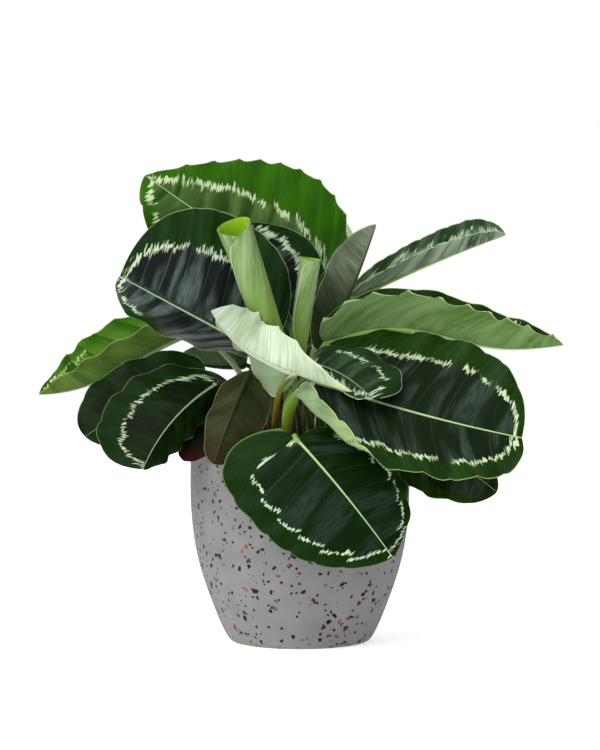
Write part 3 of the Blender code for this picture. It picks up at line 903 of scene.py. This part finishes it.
    def add_blade(self, skin: Skin) -> None:
        """Adds the blade as a thin closed shell."""
        rows, columns = self.ROWS[self.fine]
        start, end = self.BLADE_ENDS
        s = np.linspace(0.0, 1.0, rows)
        even = self.EVEN_ROWS
        t = even * s + (1.0 - even) * (0.5 - 0.5 * np.cos(math.pi * s))
        t = start + ((self.ROLL_END if self.roll else end) - start) * t
        v = np.linspace(-1.0, 1.0, columns + 1)
        sheet = self.surface(t, v)
        half = 0.5 * self.THICKNESS * (1.0 - self.MARGIN_THINS * v**2)[None, :, None]
        high, wide = self.RIDGE
        ridge = high * np.exp(-((sheet["x"] / wide) ** 2)) * (1.0 - self.RIDGE_FADES * sheet["t"])
        upper = sheet["points"] + (half + ridge[..., None]) * sheet["normals"]
        lower = sheet["points"] - half * sheet["normals"]
        around = 2 * len(v)
        loops = np.concatenate([upper, lower[:, ::-1]], axis=1).reshape(-1, 3)
        ends = self.midrib(np.array([0.0, 1.0]))[0]
        k = np.arange(around)
        side = ((k > columns) & (k < around - 1)).astype(int)
        finish = np.tile(side, rows - 1).tolist()
        base, last = rows * around, (rows - 1) * around
        faces = loop_faces(rows, around) + cap_faces(0, around, base)
        if self.roll:
            ends = ends[:1]
            faces += [
                (last + i, last + i + 1, last + around - 2 - i, last + around - 1 - i)
                for i in range(columns)
            ]
            finish += side.tolist() + [1] * columns
        else:
            faces += cap_faces(last, around, base + 1)
            finish += side.tolist() * 2
        stacked = {}
        for name, values in self.measures(sheet).items():
            grid = np.stack(values, axis=-1)
            both = np.concatenate([grid, grid[:, ::-1]], axis=1).reshape(-1, 3)
            middle = [both[columns // 2], both[-columns // 2]][: len(ends)]
            stacked[name] = np.vstack([both, *middle])
        skin.add(np.vstack([loops, ends]), faces, finish, **stacked)

    def stalk_path(self) -> tuple[np.ndarray, np.ndarray]:
        """Follows the stalk.

        Returns:
            Points and directions, from under the soil's surface up to the blade.
        """
        foot, start = (np.array([*self.root, self.SOIL_TOP + above]) for above in self.STALK_FOOT)
        end = np.array(self.base, float)
        arriving = self.midrib(np.array([0.0]))[1][0]
        reach = np.linalg.norm(end - start)
        rises, arrives = self.STALK_BEND
        lift = start + np.array([0.0, 0.0, rises * reach])
        heading = unit(arriving + self.knee * unit(end - lift))
        approach = np.array(self.via, float) if self.via else end - heading * arrives * reach
        s = np.linspace(0.0, 1.0, self.STALK_RINGS)[:-1, None]
        r = 1.0 - s
        points = r**3 * start + 3 * r**2 * s * lift + 3 * r * s**2 * approach + s**3 * end
        slopes = r**2 * (lift - start) + 2 * r * s * (approach - lift) + s**2 * (end - approach)
        return np.vstack([foot, points]), unit(np.vstack([[0.0, 0.0, 1.0], slopes]))

    def stem_line(self, end: float) -> tuple[np.ndarray, ...]:
        """Follows the stalk and on along the midrib, a little under the blade.

        Args:
            end: The share of the blade's length where it stops.

        Returns:
            Points, directions, headings square to them, radii, and how far along each lies: up to
            1 on the stalk, and 1 to 2 on the blade.
        """
        low, low_way = self.stalk_path()
        t = np.linspace(0.0, end, self.RIB_RINGS)
        normal = self.surface(t, np.array([-1e-6, 1e-6]))["normals"].mean(axis=1)
        rib, rib_way = self.midrib(t)
        normal = unit(normal - (normal * rib_way).sum(-1, keepdims=True) * rib_way)
        radius = self.stalk * (1.0 - self.RIB_TAPER * t)
        deep, over = self.RIB_SUNK
        sunk = deep * radius * smooth(t / over)
        points = np.vstack([low, rib - sunk[:, None] * normal])
        ways = np.vstack([low_way, rib_way])
        share = np.linspace(0.0, 1.0, len(low) + 1)[:-1]
        wrapped = np.exp(-(((share - self.SHEATH_AT) / self.SHEATH_REACH) ** 2))
        low_radius = self.stalk * (self.spread + (1.0 - self.spread) * share)
        low_radius = low_radius * (1.0 + self.sheath * wrapped)
        headings = np.vstack([np.zeros_like(low), normal])
        for i in range(len(low) - 1, -1, -1):
            heading = headings[i + 1]
            headings[i] = unit(heading - heading.dot(ways[i]) * ways[i])
        return (
            points, ways, headings, np.concatenate([low_radius, radius]),
            np.concatenate([share, 1.0 + t]),
        )

    def add_stem(self, skin: Skin) -> None:
        """Adds the stalk and the midrib that it runs on into, as one tapering rod."""
        end = self.ROLLED_RIB_END if self.roll else self.RIB_END
        points, ways, headings, radii, way = self.stem_line(end)
        sides = self.STALK_SIDES
        k = np.arange(sides)
        angle = (2.0 * math.pi * k / sides)[None, :, None]
        across = np.cross(ways, headings)
        around = np.cos(angle) * across[:, None, :] + np.sin(angle) * headings[:, None, :]
        rings = points[:, None, :] + radii[:, None, None] * around
        foot = len(points) * sides
        faces = loop_faces(len(points), sides)
        faces += cap_faces(0, sides, foot) + cap_faces(foot - sides, sides, foot + 1)
        run = np.concatenate([[0.0], np.cumsum(np.linalg.norm(np.diff(points, axis=0), axis=1))])
        turn = np.minimum(k, sides - k) * 2.0 * math.pi / sides
        flat = np.stack(
            np.broadcast_arrays(
                radii[:, None] * turn, (run + 10.0 * self.seed)[:, None], way[:, None]
            ),
            axis=-1,
        ).reshape(-1, 3)
        flat = np.vstack([flat, flat[0], flat[-1]])
        none = np.zeros_like(flat)
        tip = self.midrib(np.array([end + self.RIB_POINT]))[0]
        skin.add(
            np.vstack([rings.reshape(-1, 3), points[:1], tip]),
            faces, [2] * len(faces), flat=flat, veins=none, lines=none, marks=none,
        )

    def build(self, finishes: Finishes) -> None:
        """Makes the leaf as one piece."""
        skin = Skin()
        self.add_blade(skin)
        self.add_stem(skin)
        name = "_".join([*self.node.split("_")[1:], "leaf"])
        made = [finishes.get(choice) for choice in (self.upper, self.under, self.stem)]
        skin.build(name, made, self.slot, self.node)


# What several leaves share
ROLLED_UP = {
    "fold": (0, 0), "lobe": (0, 0), "wave": (0, 1), "point": (0.5, 0.5), "fullness": 10.0,
    "root_point": (0.8, 0.8), "slot": "leaf_light_green", "upper": Upper.ROLLED, "under": Under.ROLLED,
    "stem": Stem.ROLLED, "teeth": (0, 0), "pleat": 0.0,
}
TURNED_AWAY = {"slot": "leaf_olive", "fine": False, "stem": Stem.OLIVE}
IN_SHADE = {"slot": "leaf_dark_green", "stem": Stem.OLIVE}
# The back leaves' near-black undersides also stand as painted shade behind the stalks.
AT_BACK = {"wave": (2.0, 4), "under": Under.MAROON}

# Each starts with its node, root, base and tip, the way it faces and its half widths.
LEAVES = (
    CalatheaLeaf(
        "leaf_top_back", (6, 20), (18, 48, 268), (-122, 20, 362), (0.10, -1, 0.15), (64, 76),
        arch=(0, -5, -1), shoulder=(0.25, 0.05), widest=(0.37, 0.37), wave=(2.2, 6), point=(0.7, 0.95),
        fullness=1.6, upper=Upper.FRESH, teeth=(2.4, -3.4), ring=(0.78, 0.52), lobe=(0.25, 0.17), rib=0.6,
    ),
    CalatheaLeaf(
        "leaf_left_upper", (-20, -8), (-27, -14, 221), (-135, -48, 279), (0.05, -1, 0.10), (46, 81),
        arch=(0, -4, 0), fold=(-58, 2), curl=(-15, 8), shoulder=(0.1, 0.15), root_point=(0.9, 0.5),
        widest=(0.65, 0.5), wave=(1.6, 4), point=(0.5, 0.5), fullness=2.4, slot="leaf_dark_green",
        upper=Upper.NIGHT, teeth=(0.4, 0.8), pleat=0.8, vein_gap=17.0, ring=(0.74, 0.6),
        ring_from=(0.74, -1), rib=0.75,
    ),
    CalatheaLeaf(
        "leaf_behind_roll", (-6, 10), (-6, 22, 223), (-44, 18, 324), (0.10, -1, 0.10), (44, 47),
        fold=(6, 6), wave=(1.5, 4), widest=(0.5, 0.55), point=(0.8, 0.8), fullness=2.4,
        slot="leaf_dark_green", upper=Upper.NIGHT, teeth=(0.6, 0.6), fine=False, ring=(0.6, 0.62),
        rib=0.6,
    ),
    CalatheaLeaf(
        "leaf_upright_grey", (8, 4), (17, 4, 223), (59, 0, 322), (-0.92, -0.05, 0.40), (26, 25),
        arch=(2, 0, 0), fold=(74, 76), wave=(1.2, 3), widest=(0.55, 0.55), point=(0.8, 0.8),
        under=Under.GREY, teeth=(0.8, 0.8), rib=0.7, **TURNED_AWAY,
    ),
    CalatheaLeaf(
        "leaf_right_rolled", (18, 16), (40, 35, 266), (163, 30, 316), (-0.15, -0.45, 0.88), (24, 14),
        arch=(0, 0, 2), fold=(28, 50), curl=(30, 60), wave=(1.8, 5), widest=(0.75, 0.6), point=(0.5, 0.5),
        slot="leaf_dark_green", upper=Upper.STREAKED, under=Under.STREAKED, teeth=(0.8, 1.4),
        vein_gap=15.0, ring=(0.6, 0.6),
    ),
    CalatheaLeaf(
        "leaf_right_light", (20, -12), (19, -21, 229), (202, -16, 228), (0, -0.25, 0.97), (37, 31),
        arch=(0, 0, 6.2), sway=(0, 0, 7.5), fold=(46, 74), wave=(1.8, 5), root_point=(0.5, 0.35),
        widest=(0.42, 0.36), point=(0.7, 0.7), fullness=2.6, slot="leaf_light_green", upper=Upper.DEEP,
        under=Under.LIGHT, teeth=(0.8, -5.5), vein_gap=26.0,
    ),
    CalatheaLeaf(
        "leaf_right_dark", (-12, -44), (4, -60, 202), (162, -84, 159), (0.05, -0.64, 0.77), (74, 60),
        faces_tip=(0.05, -0.86, 0.52), arch=(0, 3, -3), fold=(6, 4), lobe=(0, 0.25),
        root_point=(0.35, 0.3), flap=(155, 0.5, 0.5), shoulder=(0, 0.45), widest=(0.5, 0.3),
        wave=(2.2, 5), point=(0.46, 0.45), stalk=2.1, spread=1.6, via=(-9, -54, 192), upper=Upper.DEEP,
        under=Under.FLAP, stem=Stem.SHEATH, teeth=(1.2, 3.0), ring=(0.68, 0.72), sheath=0.9, rib=0.85,
    ),
    CalatheaLeaf(
        "leaf_front", (4, -54), (-3, -93, 159), (66, -113, 75), (-0.05, -1, 0.25), (50, 64),
        arch=(0, -6, 3), fold=(-18, 4), curl=(-20, -10), lobe=(0.15, 0.75), tail=(0, 12),
        widest=(0.55, 0.3), wave=(1.6, 6), fullness=2.1, upper=Upper.GLOSSY, teeth=(0.9, 1.8),
        vein_gap=19.0, ring=(0.8, 0.74), rib=0.6, ring_from=(0.14, -1),
    ),
    CalatheaLeaf(
        "leaf_left_front", (-38, -37), (-60, -42, 200), (-115, -82, 136), (-0.20, -0.90, 0.50), (24, 54),
        arch=(-5, -8, 5), fold=(-62, 2), curl=(-20, -10), shoulder=(0, 0.35), widest=(0.5, 0.6),
        wave=(1.8, 5), point=(0.55, 0.55), teeth=(0.5, 1.0), vein_gap=16.0, rib=0.5, ring=(0.7, 0.6),
        ring_from=(2, -1), **IN_SHADE,
    ),
    CalatheaLeaf(
        "leaf_left_behind", (-37, -9), (-72, -16, 207), (-163, -30, 158), (-0.30, -0.80, 0.55), (40, 38),
        arch=(-2, 0, 3), shoulder=(0, 0.25), wave=(1.8, 4), widest=(0.5, 0.55), fine=False, rib=0.35,
        ring_from=(2, 2), **IN_SHADE,
    ),
    CalatheaLeaf(
        "leaf_left_folded", (-28, 8), (-85, 22, 240), (-203, 2, 190), (-0.30, -0.30, 0.90), (25, 42),
        arch=(0, 0, -7), sway=(0, 0, 2.5), fold=(68, 42), wave=(2.2, 5), point=(0.8, 0.8), knee=3.0,
        slot="leaf_light_green", upper=Upper.BRIGHT, under=Under.OLIVE, stem=Stem.GREY,
        teeth=(-0.8, -2.0), pleat=0.8, vein_gap=24.0, ring_from=(0.6, 0.6),
    ),
    CalatheaLeaf(
        "leaf_left_small", (-18, 22), (-43, 48, 213), (-98, 58, 218), (0, -0.20, 0.98), (24, 26),
        fold=(55, 40), arch=(0, 0, -3), wave=(1.0, 3), under=Under.DIM, rib=0.7, **TURNED_AWAY,
    ),
    CalatheaLeaf(
        "leaf_left_olive", (-28, -26), (-37, -41, 208), (-63, -86, 140), (0.15, 1, -0.10), (20, 26),
        fold=(20, 20), wave=(1.4, 3), arch=(0, -3, 3), under=Under.BROWN, teeth=(0.6, 0.6), rib=0.7,
        **TURNED_AWAY,
    ),
    CalatheaLeaf(
        "leaf_left_maroon", (-46, -20), (-56, -21, 196), (-86, -59, 141), (-0.30, -0.80, 0.30), (20, 18),
        fold=(-10, -10), wave=(1.0, 3), under=Under.MAROON, ring_from=(2, 2), upper=Under.MAROON,
        **TURNED_AWAY,
    ),
    CalatheaLeaf(
        "leaf_right_under", (34, -20), (68, -43, 168), (146, -61, 118), (0.20, -0.80, 0.50), (30, 45),
        arch=(0, -5, 3), wave=(1.6, 4), lobe=(0.2, 0), widest=(0.42, 0.34), upper=Upper.DEEP,
        teeth=(0.8, 1.6), fine=False, rib=0.35, ring_from=(2, 2), root_point=(0.5, 0.35), **IN_SHADE,
    ),
    CalatheaLeaf(
        "leaf_young_right", (12, -28), (8, -54, 214), (53, -86, 187), (0.10, -0.70, 0.70), (40, 11),
        arch=(2, 4, 4), lobe=(0.25, 0), shoulder=(0.1, 0), fold=(25, -30), curl=(-60, 0),
        widest=(0.6, 0.6), wave=(1.6, 3), point=(0.3, 0.8), upper=Upper.YOUNG, under=Under.LIGHT,
        vein_gap=12.0, ring=(0.55, 0.5), rib=0.35,
    ),
    CalatheaLeaf(
        "leaf_pale_centre", (-20, -42), (-2, -76, 205), (-65, -80, 252), (0, 1, 0), (34, 36),
        arch=(-4, 0, -6.6), sway=(0, 0, 1), fold=(-32, 42), fold_tip=(40, 85), lobe=(0, 0), tail=(50, 0),
        root_point=(1.0, 0.5), widest=(0.68, 0.3), wave=(1.8, 4), point=(0.55, 1.0), stalk=1.7,
        via=(-19, -94, 203), slot="leaf_pale_green", upper=Upper.YOUNG, under=Under.PALE,
        # The right half's underside is darkened by painted shade in full.
        stem=Stem.ORANGE, teeth=(-2.5, -2.0), vein_gap=15.0, pleat=0.35, painted_shade=(0, 1),
    ),
    CalatheaLeaf(
        "leaf_roll_tall", (-12, -24), (-12, -26, 212), (-53, -56, 326), (0, -1, 0), (50, 50),
        roll=(7, 13), widest=(0.62, 0.62), shoulder=(-0.3, -0.3), **ROLLED_UP,
    ),
    CalatheaLeaf(
        "leaf_roll_short", (2, -14), (-5, -14.5, 206), (8.6, -22, 299), (0, -1, 0), (30, 30),
        roll=(6.5, 7.8), widest=(0.55, 0.55), shoulder=(-0.1, -0.1), **ROLLED_UP,
    ),
    CalatheaLeaf(
        "leaf_narrow", (-12, 0), (-5, 1, 224), (-20, -4, 290), (0.3, -1, 0), (6, 6),
        faces_tip=(-1, -0.6, 0), fold=(35, 35), wave=(0.5, 2), lobe=(0, 0), stalk=1.3, point=(0.7, 0.7),
        teeth=(0, 0), pleat=0.1, upper=Upper.STREAKED, under=Under.GREY, fine=False, ring_from=(2, 2),
    ),
    CalatheaLeaf(
        "leaf_rear_light", (14, 30), (26, 66, 266), (27, 96, 340), (0, 1, -0.20), (22, 22), wave=(1.2, 3),
        slot="leaf_light_green", upper=Upper.BRIGHT, under=Under.PALE, fine=False,
    ),
    CalatheaLeaf(
        "leaf_back_right", (30, 26), (46, 66, 238), (112, 138, 228), (0.20, -0.30, 1), (42, 42),
        arch=(0, 0, 10), upper=Upper.DEEP, **AT_BACK,
    ),
    CalatheaLeaf(
        "leaf_back_left", (-26, 30), (-22, 66, 236), (-88, 140, 262), (-0.10, 0.30, 0.90), (40, 40),
        arch=(0, 0, 6), upper=Upper.FRESH, **AT_BACK,
    ),
    CalatheaLeaf(
        "leaf_back_centre", (2, 38), (12, 84, 228), (14, 172, 132), (0.10, 0.60, 0.80), (54, 54),
        arch=(0, 4, 16), upper=Upper.DEEP, **AT_BACK,
    ),
)


@dataclass(frozen=True)
class Terrazzo(Finish):
    """Terrazzo: grey concrete with stone chips, cast and ground smooth, then left unsealed.

    Ground concrete looks flat and matt, at a roughness of about 0.75, with tiny pits. The chips
    are 1 to 3 mm across, cut off straight by the grinding, and a little smoother.
    """

    name: str = "terrazzo, cast and ground"
    cement: str = "#848484"
    cement_dark: str = "#767677"
    speck: str = "#75757a"
    chips: tuple[tuple[float, str], ...] = (
        (0.0, "#110e10"), (0.28, "#2c1214"), (0.42, "#16161a"), (0.66, "#8a4816"),
        (0.75, "#4a2214"), (0.9, "#55565a"),
    )
    # mm from chip to chip, and the share of the places that have none
    sizes: tuple[Pair, ...] = ((3.7, 0.972), (2.6, 0.955), (1.9, 0.955))
    roughness: float = 0.78
    gloss: float = 0.15

    CLOUDS = (22.0, 4.0)  # mm, and how finely they break up
    SAND = (1.1, 3.0)
    BEND = (1.6, 1.0)  # makes the chips' outlines uneven
    CHIP_EDGE = (0.02, 0.06)
    IOR = 1.5
    ROUGHER = (0.0, -0.36)  # three times how much smoother a chip is
    RELIEF = (0.25, 0.3)

    def pattern(self, tree: Tree) -> tuple[Socket, Socket, Socket]:
        """Gives the colour, what the roughness follows and what the relief follows."""
        sand = grains(tree, *self.SAND)
        bent = {0: grains(tree, *self.BEND, "Color"), 1: (0.5 * MM,) * 3}
        bent[2] = add_node(tree, "TexCoord", {}, "Object")
        bent = add_node(tree, "VectorMath", bent, operation="MULTIPLY_ADD")
        colour = layered(
            tree, self.cement,
            (self.cement_dark, 1.0, (grains(tree, *self.CLOUDS), 0.25, 0.75)),
            (self.speck, 0.35, (sand, 0.58, 0.72)),
            blend="LINEAR",
        )
        chipped = 0.0
        start, full = self.CHIP_EDGE
        for size, least in self.sizes:
            grid = {"Vector": bent, "Scale": 1.0 / (size * MM)}
            edge = add_node(tree, "TexVoronoi", grid, "Distance", feature="DISTANCE_TO_EDGE")
            lots = add_node(tree, "TexVoronoi", grid, "Color")
            pick, hue, _ = add_node(tree, "SeparateColor", {0: lots}).node.outputs
            picked = add_node(tree, "Math", {0: pick, 1: least}, operation="GREATER_THAN")
            limits = {"Value": edge, "From Min": start, "From Max": full, "To Max": picked}
            chip = add_node(tree, "MapRange", limits)
            shades = add_node(tree, "ValToRGB", {0: hue})
            ramp = shades.node.color_ramp
            ramp.interpolation = "CONSTANT"
            while len(ramp.elements) < len(self.chips):
                ramp.elements.new(1.0)
            for element, (place, shade) in zip(ramp.elements, self.chips):
                element.position = place
                element.color = linear(shade)
            colour = layered(tree, colour, (shades, chip))
            third = {0: chip, 1: 1.0 / 3.0, 2: chipped}
            chipped = add_node(tree, "Math", third, operation="MULTIPLY_ADD")
        return colour, chipped, sand


@dataclass(frozen=True)
class Loose(Finish):
    """A loose, rough natural stuff such as peat, bark or perlite, which scatters light evenly."""

    dark: str
    light: str
    grain: float  # mm
    roughness: float = 0.9
    gloss: float = 0.2

    FINE = 0.3  # against the coarse grain
    DETAIL = 4.0
    IOR = 1.4
    ROUGHER = (-0.15, 0.1)
    RELIEF = (0.5, 0.7)

    def pattern(self, tree: Tree) -> tuple[Socket, Socket, Socket]:
        """Gives the colour, what the roughness follows and what the relief follows."""
        coarse, fine = (grains(tree, size * self.grain, self.DETAIL) for size in (1.0, self.FINE))
        light = (self.light, 1.0, (coarse, 0.35, 0.68))
        return layered(tree, self.dark, light, blend="LINEAR"), fine, fine


class Filling(Enum):
    """What fills the pot."""

    PEAT = Loose("peat potting soil, loose", "#1c130d", "#3b2a1e", 2.2)
    CRUMB = Loose("peat crumbs and bark, broken", "#24180f", "#5a412b", 1.4)
    PERLITE = Loose("perlite, blown grains", "#b9b3a6", "#dedad0", 1.0)


@dataclass(frozen=True)
class Paper(Finish):
    """Matt white paper with a faint glow, so that the floor stays white under the plant."""

    def sockets(self, tree: Tree) -> dict:
        """Gives the value or the output for each socket of the main shader."""
        return {
            "Base Color": linear("#f8f8f7"), "Roughness": 0.9, "Specular IOR Level": 0.1,
            "Emission Color": linear("#ffffff"), "Emission Strength": 0.6,
        }


def rounded(profile: tuple[Pair, ...], steps: int) -> np.ndarray:
    """Draws a smooth line through the points of a profile.

    Args:
        profile: Radius and height at each point.
        steps: How many parts each stretch gets.

    Returns:
        The finer profile.
    """
    p = np.array([profile[0], *profile, profile[-1]], float)
    s = np.linspace(0.0, 1.0, steps + 1)[:-1, None]
    parts = []
    for a, b, c, d in zip(p[:-3], p[1:-2], p[2:-1], p[3:]):
        bend = 2 * a - 5 * b + 4 * c - d
        twist = 3 * b - a - 3 * c + d
        parts.append(0.5 * (2 * b + (c - a) * s + bend * s**2 + twist * s**3))
    return np.vstack([*parts, p[-1:]])


def turned(profile: np.ndarray, sides: int) -> tuple[np.ndarray, list]:
    """Turns a profile round the upright axis into a closed skin.

    Args:
        profile: Radius and height at each ring.
        sides: How many sides the skin has.

    Returns:
        Points and faces.
    """
    angle = 2.0 * math.pi * np.arange(sides) / sides
    radius, height = profile[:, :1], profile[:, 1:]
    rings = np.stack(
        np.broadcast_arrays(radius * np.cos(angle), radius * np.sin(angle), height), axis=-1
    ).reshape(-1, 3)
    ends = [[0.0, 0.0, profile[0, 1]], [0.0, 0.0, profile[-1, 1]]]
    faces = loop_faces(len(profile), sides)
    faces += cap_faces(0, sides, len(rings)) + cap_faces(len(rings) - sides, sides, len(rings) + 1)
    return np.vstack([rings, ends]), faces


@dataclass
class TerrazzoPot:
    """The pot: a rounded shell on a flat foot."""

    height: float = 150.0
    radius: float = 85.0
    foot: float = 51.0
    wall: float = 6.0
    floor: float = 9.0
    lip: float = 2.5
    sides: int = 160
    steps: int = 6

    def outside(self) -> tuple[Pair, ...]:
        """The outer profile from the foot up."""
        foot, radius, height = self.foot, self.radius, self.height
        return (
            (foot - 6.0, 0.0), (foot, 0.0), (foot + 3.2, 1.2), (foot + 6.6, 6.0),
            (foot + 11.5, 16.0), (foot + 17.5, 31.0), (foot + 23.6, 48.0), (foot + 28.6, 66.0),
            (foot + 32.0, 86.0), (radius - 0.4, 106.0), (radius, 124.0),
            (radius - 0.4, height - self.lip - 1.0), (radius - 1.2, height - 0.7),
            (radius - self.lip, height),
        )

    def inside(self) -> tuple[Pair, ...]:
        """The inner profile from the rim down."""
        foot, bore, height = self.foot, self.radius - self.wall, self.height
        return (
            (bore + 1.6, height), (bore - 0.2, height - self.lip), (bore, 124.0), (bore - 2.2, 86.0),
            (foot + 17.2, 48.0), (foot + 5.0, 20.0), (foot - 6.0, self.floor),
        )

    def build(self) -> None:
        """Makes the pot."""
        profile = np.maximum(rounded(self.outside() + self.inside(), self.steps), 0.0)
        points, faces = turned(profile, self.sides)
        skin = Skin()
        skin.add(points, faces, [0] * len(faces))
        skin.build("terrazzo_pot", [Terrazzo().material()], "pot", "pot")


@dataclass
class PottingSoil:
    """The potting soil, with crumbs and perlite lying on it."""

    top: float = 132.0
    bottom: float = 9.3
    edge: float = 78.2
    sides: int = 128
    rings: int = 40
    lump: float = 1.6
    unevenness: float = 1.1
    sunk_at_wall: float = 1.5
    crumbs: int = 420
    perlite: int = 60
    crumb_size: Pair = (0.7, 2.6)
    perlite_size: Pair = (0.8, 1.5)
    grain_stretch: Pair = (0.6, 1.3)
    grain_flatness: float = 0.7
    grain_unevenness: float = 0.45
    grain_lift: float = 0.25  # the share of its size that a grain stands above the soil
    clear_of_wall: float = 5.0
    clear_of_stalk: float = 3.5
    seed: int = 7

    CLODS = (0.8, 2.1, 5)  # how rough, how much finer each layer is, and how many layers
    CLOD_PLACE = (0.09, 3.0)  # the noise's units in a mm, and the slice through it
    SWELLS = (0.16, 0.19)  # radians in a mm, each way
    LEVEL_FROM = 0.95  # the share of the way to the wall where the swells end

    def level(self, x: float, y: float) -> float:
        """The height of the soil at a place."""
        near_wall = math.hypot(x, y) / self.edge
        scale, depth = self.CLOD_PLACE
        rough = noise.fractal(Vector((scale * x, scale * y, depth)), *self.CLODS)
        swell = self.lump * math.sin(self.SWELLS[0] * x + 1.0) * math.sin(self.SWELLS[1] * y)
        height = self.top + swell * (near_wall < self.LEVEL_FROM) + self.unevenness * rough
        return height - self.sunk_at_wall * near_wall**8

    def add_ground(self, skin: Skin) -> None:
        """Adds the solid soil."""
        wall = rounded(
            ((44.2, self.bottom), (54.7, 20.0), (67.3, 48.0), (75.9, 86.0), (77.9, 124.0)), 4
        )
        shrink = (1.0 - np.linspace(0.0, 1.0, self.rings + 1)[:-1, None]) * self.edge
        top = np.hstack([shrink, np.full_like(shrink, self.top)])
        points, faces = turned(np.vstack([wall, top]), self.sides)
        for i in [*range(len(wall) * self.sides, len(points) - 2), len(points) - 1]:
            points[i, 2] = self.level(points[i, 0], points[i, 1])
        skin.add(points, faces, [0] * len(faces))

    def add_crumbs(self, skin: Skin, leaves: tuple[CalatheaLeaf, ...]) -> None:
        """Adds loose crumbs and perlite grains.

        Args:
            skin: What they are added to.
            leaves: The leaves, whose stalks they lie clear of.
        """
        ball = bmesh.new()
        bmesh.ops.create_icosphere(ball, subdivisions=2, radius=1.0)
        shape = np.array([v.co for v in ball.verts])
        faces = [tuple(v.index for v in f.verts) for f in ball.faces]
        ball.free()
        draw = np.random.default_rng(self.seed)
        for i in range(self.crumbs + self.perlite):
            light = i >= self.crumbs
            while True:
                x, y = draw.uniform(-self.edge, self.edge, 2)
                gaps = [math.dist((x, y), leaf.root) - leaf.stalk * leaf.spread for leaf in leaves]
                inside = math.hypot(x, y) <= self.edge - self.clear_of_wall
                if inside and min(gaps) > self.clear_of_stalk:
                    break
            size = draw.uniform(*(self.perlite_size if light else self.crumb_size))
            stretch = draw.uniform(*self.grain_stretch, 3) * (1.0, 1.0, self.grain_flatness)
            shift = draw.uniform(0.0, 50.0, 3)
            bumps = np.array([noise.noise(Vector(p * 1.3 + shift)) for p in shape])
            turn = draw.uniform(0.0, 2.0 * math.pi)
            c, s = math.cos(turn), math.sin(turn)
            points = shape * (1.0 + self.grain_unevenness * bumps[:, None]) * stretch * size
            points = points @ np.array([[c, s, 0.0], [-s, c, 0.0], [0.0, 0.0, 1.0]])
            points = points + (x, y, self.level(x, y) + self.grain_lift * size)
            skin.add(points, faces, [2 if light else 1] * len(faces))

    def build(self, leaves: tuple[CalatheaLeaf, ...]) -> None:
        """Makes the soil as one piece."""
        skin = Skin()
        self.add_ground(skin)
        self.add_crumbs(skin, leaves)
        finishes = [choice.value.material() for choice in Filling]
        skin.build("potting_soil", finishes, "soil", "soil", crease=70.0)


@dataclass
class SoftLight:
    """A large soft box far from the plant."""

    name: str
    comes_from: Point
    strength: float
    spread: float  # degrees across, as the plant sees it

    def build(self) -> None:
        """Makes the light."""
        data = bpy.data.lights.new(self.name, "SUN")
        data.energy = self.strength
        data.angle = math.radians(self.spread)
        made = in_scene(self.name, data)
        made.rotation_mode = "QUATERNION"
        made.rotation_quaternion = Vector(self.comes_from).to_track_quat("Z", "Y")


@dataclass
class Studio:
    """A pale floor, soft light and a camera level with the plant."""

    floor_radius: float = 6000.0
    floor_sides: int = 96
    camera_distance: float = 1400.0
    camera_height: float = 205.0
    camera_reach: float = 100.0  # m
    lens: float = 86.6
    film: float = 36.0
    surround: float = 0.2
    lights: tuple[SoftLight, ...] = (
        SoftLight("key soft box", (-0.65, -0.62, 0.75), 2.55, 50.0),
        SoftLight("top soft box", (0.1, 0.1, 1.0), 1.1, 90.0),
        SoftLight("fill soft box", (0.9, -0.5, 0.35), 0.05, 110.0),
        SoftLight("back soft box", (-0.3, 0.9, 0.6), 0.6, 90.0),
    )

    def add_floor(self) -> None:
        """Lays the floor."""
        mesh = bpy.data.meshes.new("studio_floor")
        shell = bmesh.new()
        radius = self.floor_radius * MM
        bmesh.ops.create_circle(shell, cap_ends=True, segments=self.floor_sides, radius=radius)
        shell.to_mesh(mesh)
        shell.free()
        mesh.materials.append(Paper("matt white paper").material())
        floor = in_scene("studio_floor", mesh)

    def add_surround(self) -> None:
        """Makes the white surround, which shows white and gives a weaker even light."""
        world = bpy.data.worlds.new("white surround")
        world.use_nodes = True
        tree = world.node_tree
        shown = add_node(tree, "LightPath", {}, "Is Camera Ray")
        strength = {"Value": shown, "To Min": self.surround, "To Max": 1.0}
        strength = add_node(tree, "MapRange", strength)
        feed(tree.nodes["Background"], {"Color": linear("#ffffff"), "Strength": strength})
        bpy.context.scene.world = world

    def add_camera(self) -> None:
        """Sets the camera level with the middle of the picture."""
        data = bpy.data.cameras.new("camera")
        data.lens = self.lens
        data.sensor_width = self.film
        data.clip_end = self.camera_reach
        made = in_scene("camera", data)
        made.location = Vector((0.0, -self.camera_distance, self.camera_height)) * MM
        made.rotation_euler = (math.radians(90.0), 0.0, 0.0)
        bpy.context.scene.camera = made

    def build(self) -> None:
        """Makes the studio."""
        bpy.context.scene.view_settings.view_transform = "Standard"
        self.add_floor()
        self.add_surround()
        self.add_camera()
        for light in self.lights:
            light.build()


def main() -> None:
    """Builds the studio, the pot, its soil and every leaf."""
    logging.basicConfig(level=logging.INFO, format="%(message)s")
    Studio().build()
    TerrazzoPot().build()
    PottingSoil().build(LEAVES)
    finishes = Finishes()
    for leaf in LEAVES:
        leaf.build(finishes)


if __name__ == "__main__":
    main()
